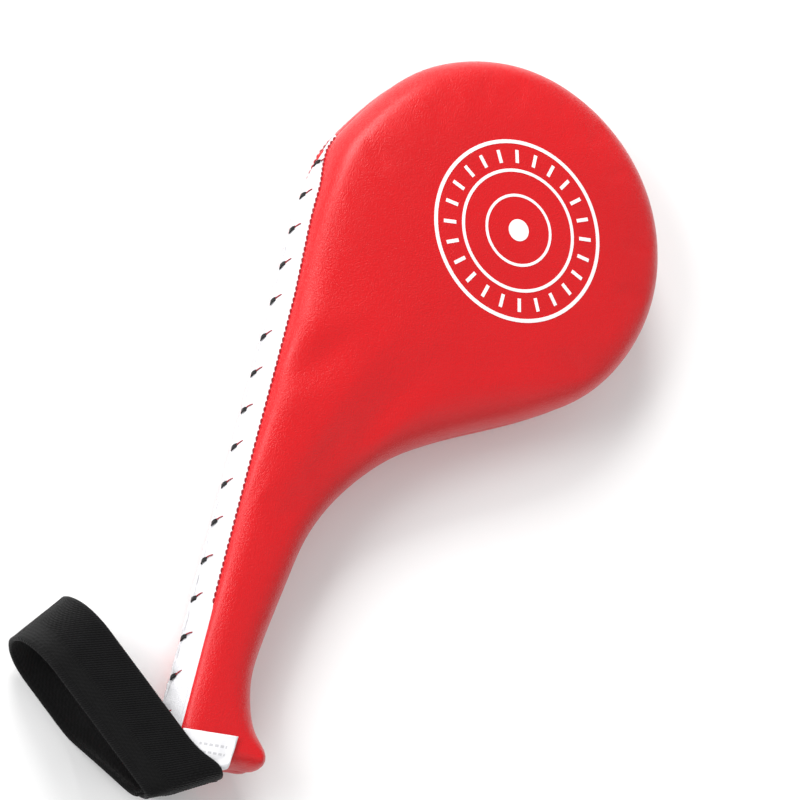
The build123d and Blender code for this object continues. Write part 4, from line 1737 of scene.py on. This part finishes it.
@dataclass
class WristBand:
    """Loop of elastic webbing whose two ends are sewn into the butt seam."""

    width: float = 30.0
    half_thick: float = 0.95
    root: Point = (-91.5, -306.2)
    heading: float = 144.9
    bend_at: float = 74.0
    bend_r: float = 20.0
    mid_z: float = 22.0
    butt_corner: Point = (-102.0, -309.5)
    butt_slope: float = 24.0
    across_steps: int = 20
    along_steps: int = 260
    top_z: float = 41.9
    bottom_z: float = 1.6
    tight_out: tuple[float, ...] = (-4.0, 1.6, 2.8, 3.2, 2.9, 1.6, -1.0, -5.4)
    climb: tuple[float, ...] = (0.0, 0.0, 0.06, 0.25, 0.55, 0.82, 0.96, 1.0)

    def __post_init__(self) -> None:
        """Directions along and across the band."""
        turn, slope = math.radians(self.heading), math.radians(self.butt_slope)
        self.along = np.array([math.cos(turn), math.sin(turn)])
        self.across = np.array([math.sin(turn), -math.cos(turn)])
        self.out = np.array([math.sin(slope), -math.cos(slope)])

    def edge_t(self, beyond: float, s: float) -> float:
        """Distance along the band of the line a given way past the butt end."""
        start = (np.array(self.root) - np.array(self.butt_corner)) @ self.out
        return (beyond - start - s * (self.across @ self.out)) / (self.along @ self.out)

    def centre_line(self, s: float) -> Array:
        """Path of one thread of the webbing, in distance along and height.

        Args:
            s: place across the band, from -15 to 15.

        Returns:
            Smooth, evenly spaced points.
        """
        loose = (self.width / 2 - s) / self.width
        free = float(eased((loose - 0.6) / 0.4))
        top, bottom = self.top_z, self.bottom_z
        pinch = self.mid_z + 9.0 * free
        free_out = (-4.0 + 6.5 * free, 3.0, 4.2, 4.8, 4.9, 4.4, 3.0, -2.0)
        knots = []
        for number, (near, far, share) in enumerate(zip(self.tight_out, free_out, self.climb)):
            weight = loose if number else 1.0
            beyond = near + (far - near) * weight
            knots.append((self.edge_t(beyond, s), pinch + 1.2 + (top - 0.1 - pinch - 1.2) * share))
        knots += [(26.0, top), (50.0, top + 0.2), (self.bend_at, self.mid_z + self.bend_r)]
        for turn in np.linspace(80, -80, 9):
            swing = math.radians(turn)
            across, up = self.bend_r * math.cos(swing), self.bend_r * math.sin(swing)
            knots.append((self.bend_at + across, self.mid_z + up))
        start = self.edge_t(3.5 + 1.2 * loose, s)
        slant = 2.0 + 34.0 * free
        knots += [
            (self.bend_at, self.mid_z - self.bend_r), (52.0, bottom + 0.1), (start + slant + 8.0, bottom),
            (start + slant, bottom + 0.8), (start + slant * 0.5, bottom + 7.0 + 6.5 * free),
            (start + slant * 0.12, 16.0 + 8.0 * free), (self.edge_t(3.2 + 0.4 * loose, s), pinch - 2.8),
            (self.edge_t(1.2 + 2.0 * free, s), pinch - 1.2), (self.edge_t(-4.0 + 6.5 * free, s), pinch - 1.2),
        ]
        return self.smooth(np.array(knots))

    def splay(self, along: Array, s: float) -> Array:
        """Extra width where the band's taut side spreads out at the seam."""
        beyond = np.maximum(along - self.edge_t(0.0, s), 0.0)
        return 4.2 * np.exp(-((beyond / 11.0) ** 2)) * eased((s + 3.0) / 18.0)

    def smooth(self, knots: Array) -> Array:
        """Rounded line through a few knots."""
        line = spaced(knots, 0.5, False)
        line = softened(line, 4, closed=False)
        runs = run_lengths(line)
        return resampled(np.linspace(0, runs[-1], self.along_steps), runs, line)

    def build(self) -> Object:
        """Makes the band as one closed strip, thick at its corded edges."""
        places = np.linspace(-self.width / 2, self.width / 2, self.across_steps)
        lines = [self.centre_line(s) for s in places]
        sides = {1: [], -1: []}
        lengths = []
        for s, line in zip(places, lines):
            ahead = np.gradient(line, axis=0)
            ahead /= np.linalg.norm(ahead, axis=1, keepdims=True)
            normal = np.column_stack([-ahead[:, 1], ahead[:, 0]])
            thick = self.half_thick * (1.0 + 0.12 * math.exp(-((self.width / 2 - abs(s)) / 0.9) ** 2))
            lengths.append(run_lengths(line))
            for sign in (1, -1):
                shifted = line + normal * thick * sign
                flat = np.array(self.root) + np.outer(shifted[:, 0], self.along) + self.across * s
                flat += np.outer(self.splay(shifted[:, 0], s), self.across)
                sides[sign].append(np.column_stack([flat, shifted[:, 1]]))
        self.outer = max(sides.values(), key=lambda side: float((side[0][40, :2] - self.root) @ self.out))
        edge = {}
        for sign in (1, -1):
            index = 0 if sign < 0 else -1
            middle = (sides[1][index] + sides[-1][index]) / 2
            edge[sign] = middle + np.append(self.across, 0.0) * sign * self.half_thick * 0.8
        ring_lines = [*sides[1], edge[1], *sides[-1][::-1], edge[-1]]
        maps = [*places, self.width / 2 + 0.8, *places[::-1], -self.width / 2 - 0.8]
        runs = [*lengths, lengths[-1], *lengths[::-1], lengths[0]]
        count, rows = len(ring_lines), len(lines[0])
        points = np.stack(ring_lines, axis=1).reshape(-1, 3)
        faces = grid_faces(rows, count, True)
        faces.append(tuple(range(count))[::-1])
        faces.append(tuple(range((rows - 1) * count, rows * count)))
        piece = make_piece("wrist_band", points, faces)
        work = bmesh.new()
        work.from_mesh(piece.data)
        bmesh.ops.recalc_face_normals(work, faces=work.faces[:])
        work.to_mesh(piece.data)
        work.free()
        layer = piece.data.uv_layers.new(name="band_map")
        for loop in piece.data.loops:
            row, column = divmod(loop.vertex_index, count)
            layer.data[loop.index].uv = (runs[column][row] * MM, maps[column] * MM)
        piece.data.materials.append(WEBBING.material())
        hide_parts("wrist_strap", "strap_end_front", "strap_end_back")
        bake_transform(piece)
        LOG.info("%s: %d faces", piece.name, len(piece.data.polygons))
        return piece

    def tacks(self) -> None:
        """Bartack row that holds the band's ends in the butt seam."""
        path = []
        for line in self.outer[:5:-1]:
            first = line[:60]
            path.append(first[int(np.argmin(np.abs(first[:, 2] - 27.0)))])
        path = np.array(path) + np.append(self.out * 0.15, 0.0)
        facing = np.tile(np.append(self.out, 0.0), (len(path), 1))
        ThreadRun(
            "band_tacks", BLACK_THREAD, "black_thread", 1.25, 3.4, 0.5, 0.35, 0.2,
            turn=78.0, jitter=4.0, seed=9,
        ).lay(path, facing, "strap_tack_thread")


# --- Studio ----------------------------------------------------------------------------
@dataclass
class Studio:
    """Pale floor, soft lights and the camera; lengths here are metres."""

    aim: tuple[float, float, float] = (-0.0261, -0.0955, 0.022)
    distance: float = 1.318
    azimuth: float = -49.13
    elevation: float = 61.1
    roll: float = 66.72
    view_angle: float = 16.47
    world: float = 0.55

    def floor(self) -> None:
        """Large round sweep of paper."""
        turns = np.linspace(0, math.tau, 96, endpoint=False)
        points = np.column_stack([4000 * np.cos(turns), 4000 * np.sin(turns), np.full(96, -0.05)])
        sweep = make_piece("paper_sweep", points, [tuple(range(96))])
        sweep.data.materials.append(PAPER.material())

    def light(self, name: str, at: Point, size: float, power: float, colour: Colour) -> None:
        """Square soft box that looks at the middle of the paddle.

        Args:
            name: the light's name.
            at: its place.
            size: its side.
            power: its power in watts.
            colour: its colour.
        """
        data = bpy.data.lights.new(name, "AREA")
        data.shape, data.size, data.energy, data.color = "SQUARE", size, power, colour
        lamp = add_object(name, data)
        lamp.location = at
        aim = Vector((-0.03, -0.1, 0.02)) - Vector(at)
        lamp.rotation_euler = aim.to_track_quat("-Z", "Y").to_euler()

    def camera(self) -> None:
        """Camera above the butt's side, rolled so that the head points up and right."""
        data = bpy.data.cameras.new("studio_camera")
        data.sensor_width = 36.0
        data.lens = 18.0 / math.tan(math.radians(self.view_angle / 2))
        data.clip_start, data.clip_end = 0.05, 20.0
        camera = add_object("studio_camera", data)
        level, tip = math.radians(self.azimuth), math.radians(90.0 - self.elevation)
        turned = Matrix.Rotation(level, 4, "Z") @ Matrix.Rotation(tip, 4, "X")
        turned = turned @ Matrix.Rotation(math.radians(self.roll), 4, "Z")
        back = turned.col[2].to_3d()
        camera.matrix_world = Matrix.Translation(Vector(self.aim) + back * self.distance) @ turned
        bpy.context.scene.camera = camera

    def build(self) -> None:
        """Sets up floor, world, lights and camera."""
        self.floor()
        world = bpy.data.worlds.new("studio_white")
        world.use_nodes = True
        sky = world.node_tree.nodes["Background"]
        sky.inputs["Color"].default_value = (1.0, 1.0, 1.0, 1.0)
        sky.inputs["Strength"].default_value = self.world
        bpy.context.scene.world = world
        bpy.context.scene.view_settings.view_transform = "Standard"
        self.light("key_box", (-0.95, 1.25, 1.05), 0.8, 27.5, (1.0, 0.99, 0.98))
        self.light("edge_box", (-1.3, -0.2, 0.9), 0.7, 15.0, (1.0, 1.0, 1.0))
        self.light("fill_box", (1.3, -0.9, 1.7), 1.6, 6.0, (0.98, 0.99, 1.0))
        self.camera()


def main() -> None:
    """Builds the paddle's sub-assemblies in order, then the studio."""
    logging.basicConfig(level=logging.INFO, format="%(message)s")
    form = PaddedForm()
    cover = Cover(form)
    panels = cover.build()
    Filling(form).build()
    Stitching(cover).build()
    face = Surface(panels[Side.FRONT])
    PrintedTarget(face).build()
    CareLabel(face).build()
    band = WristBand()
    band.build()
    band.tacks()
    Studio().build()


if __name__ == "__main__":
    main()
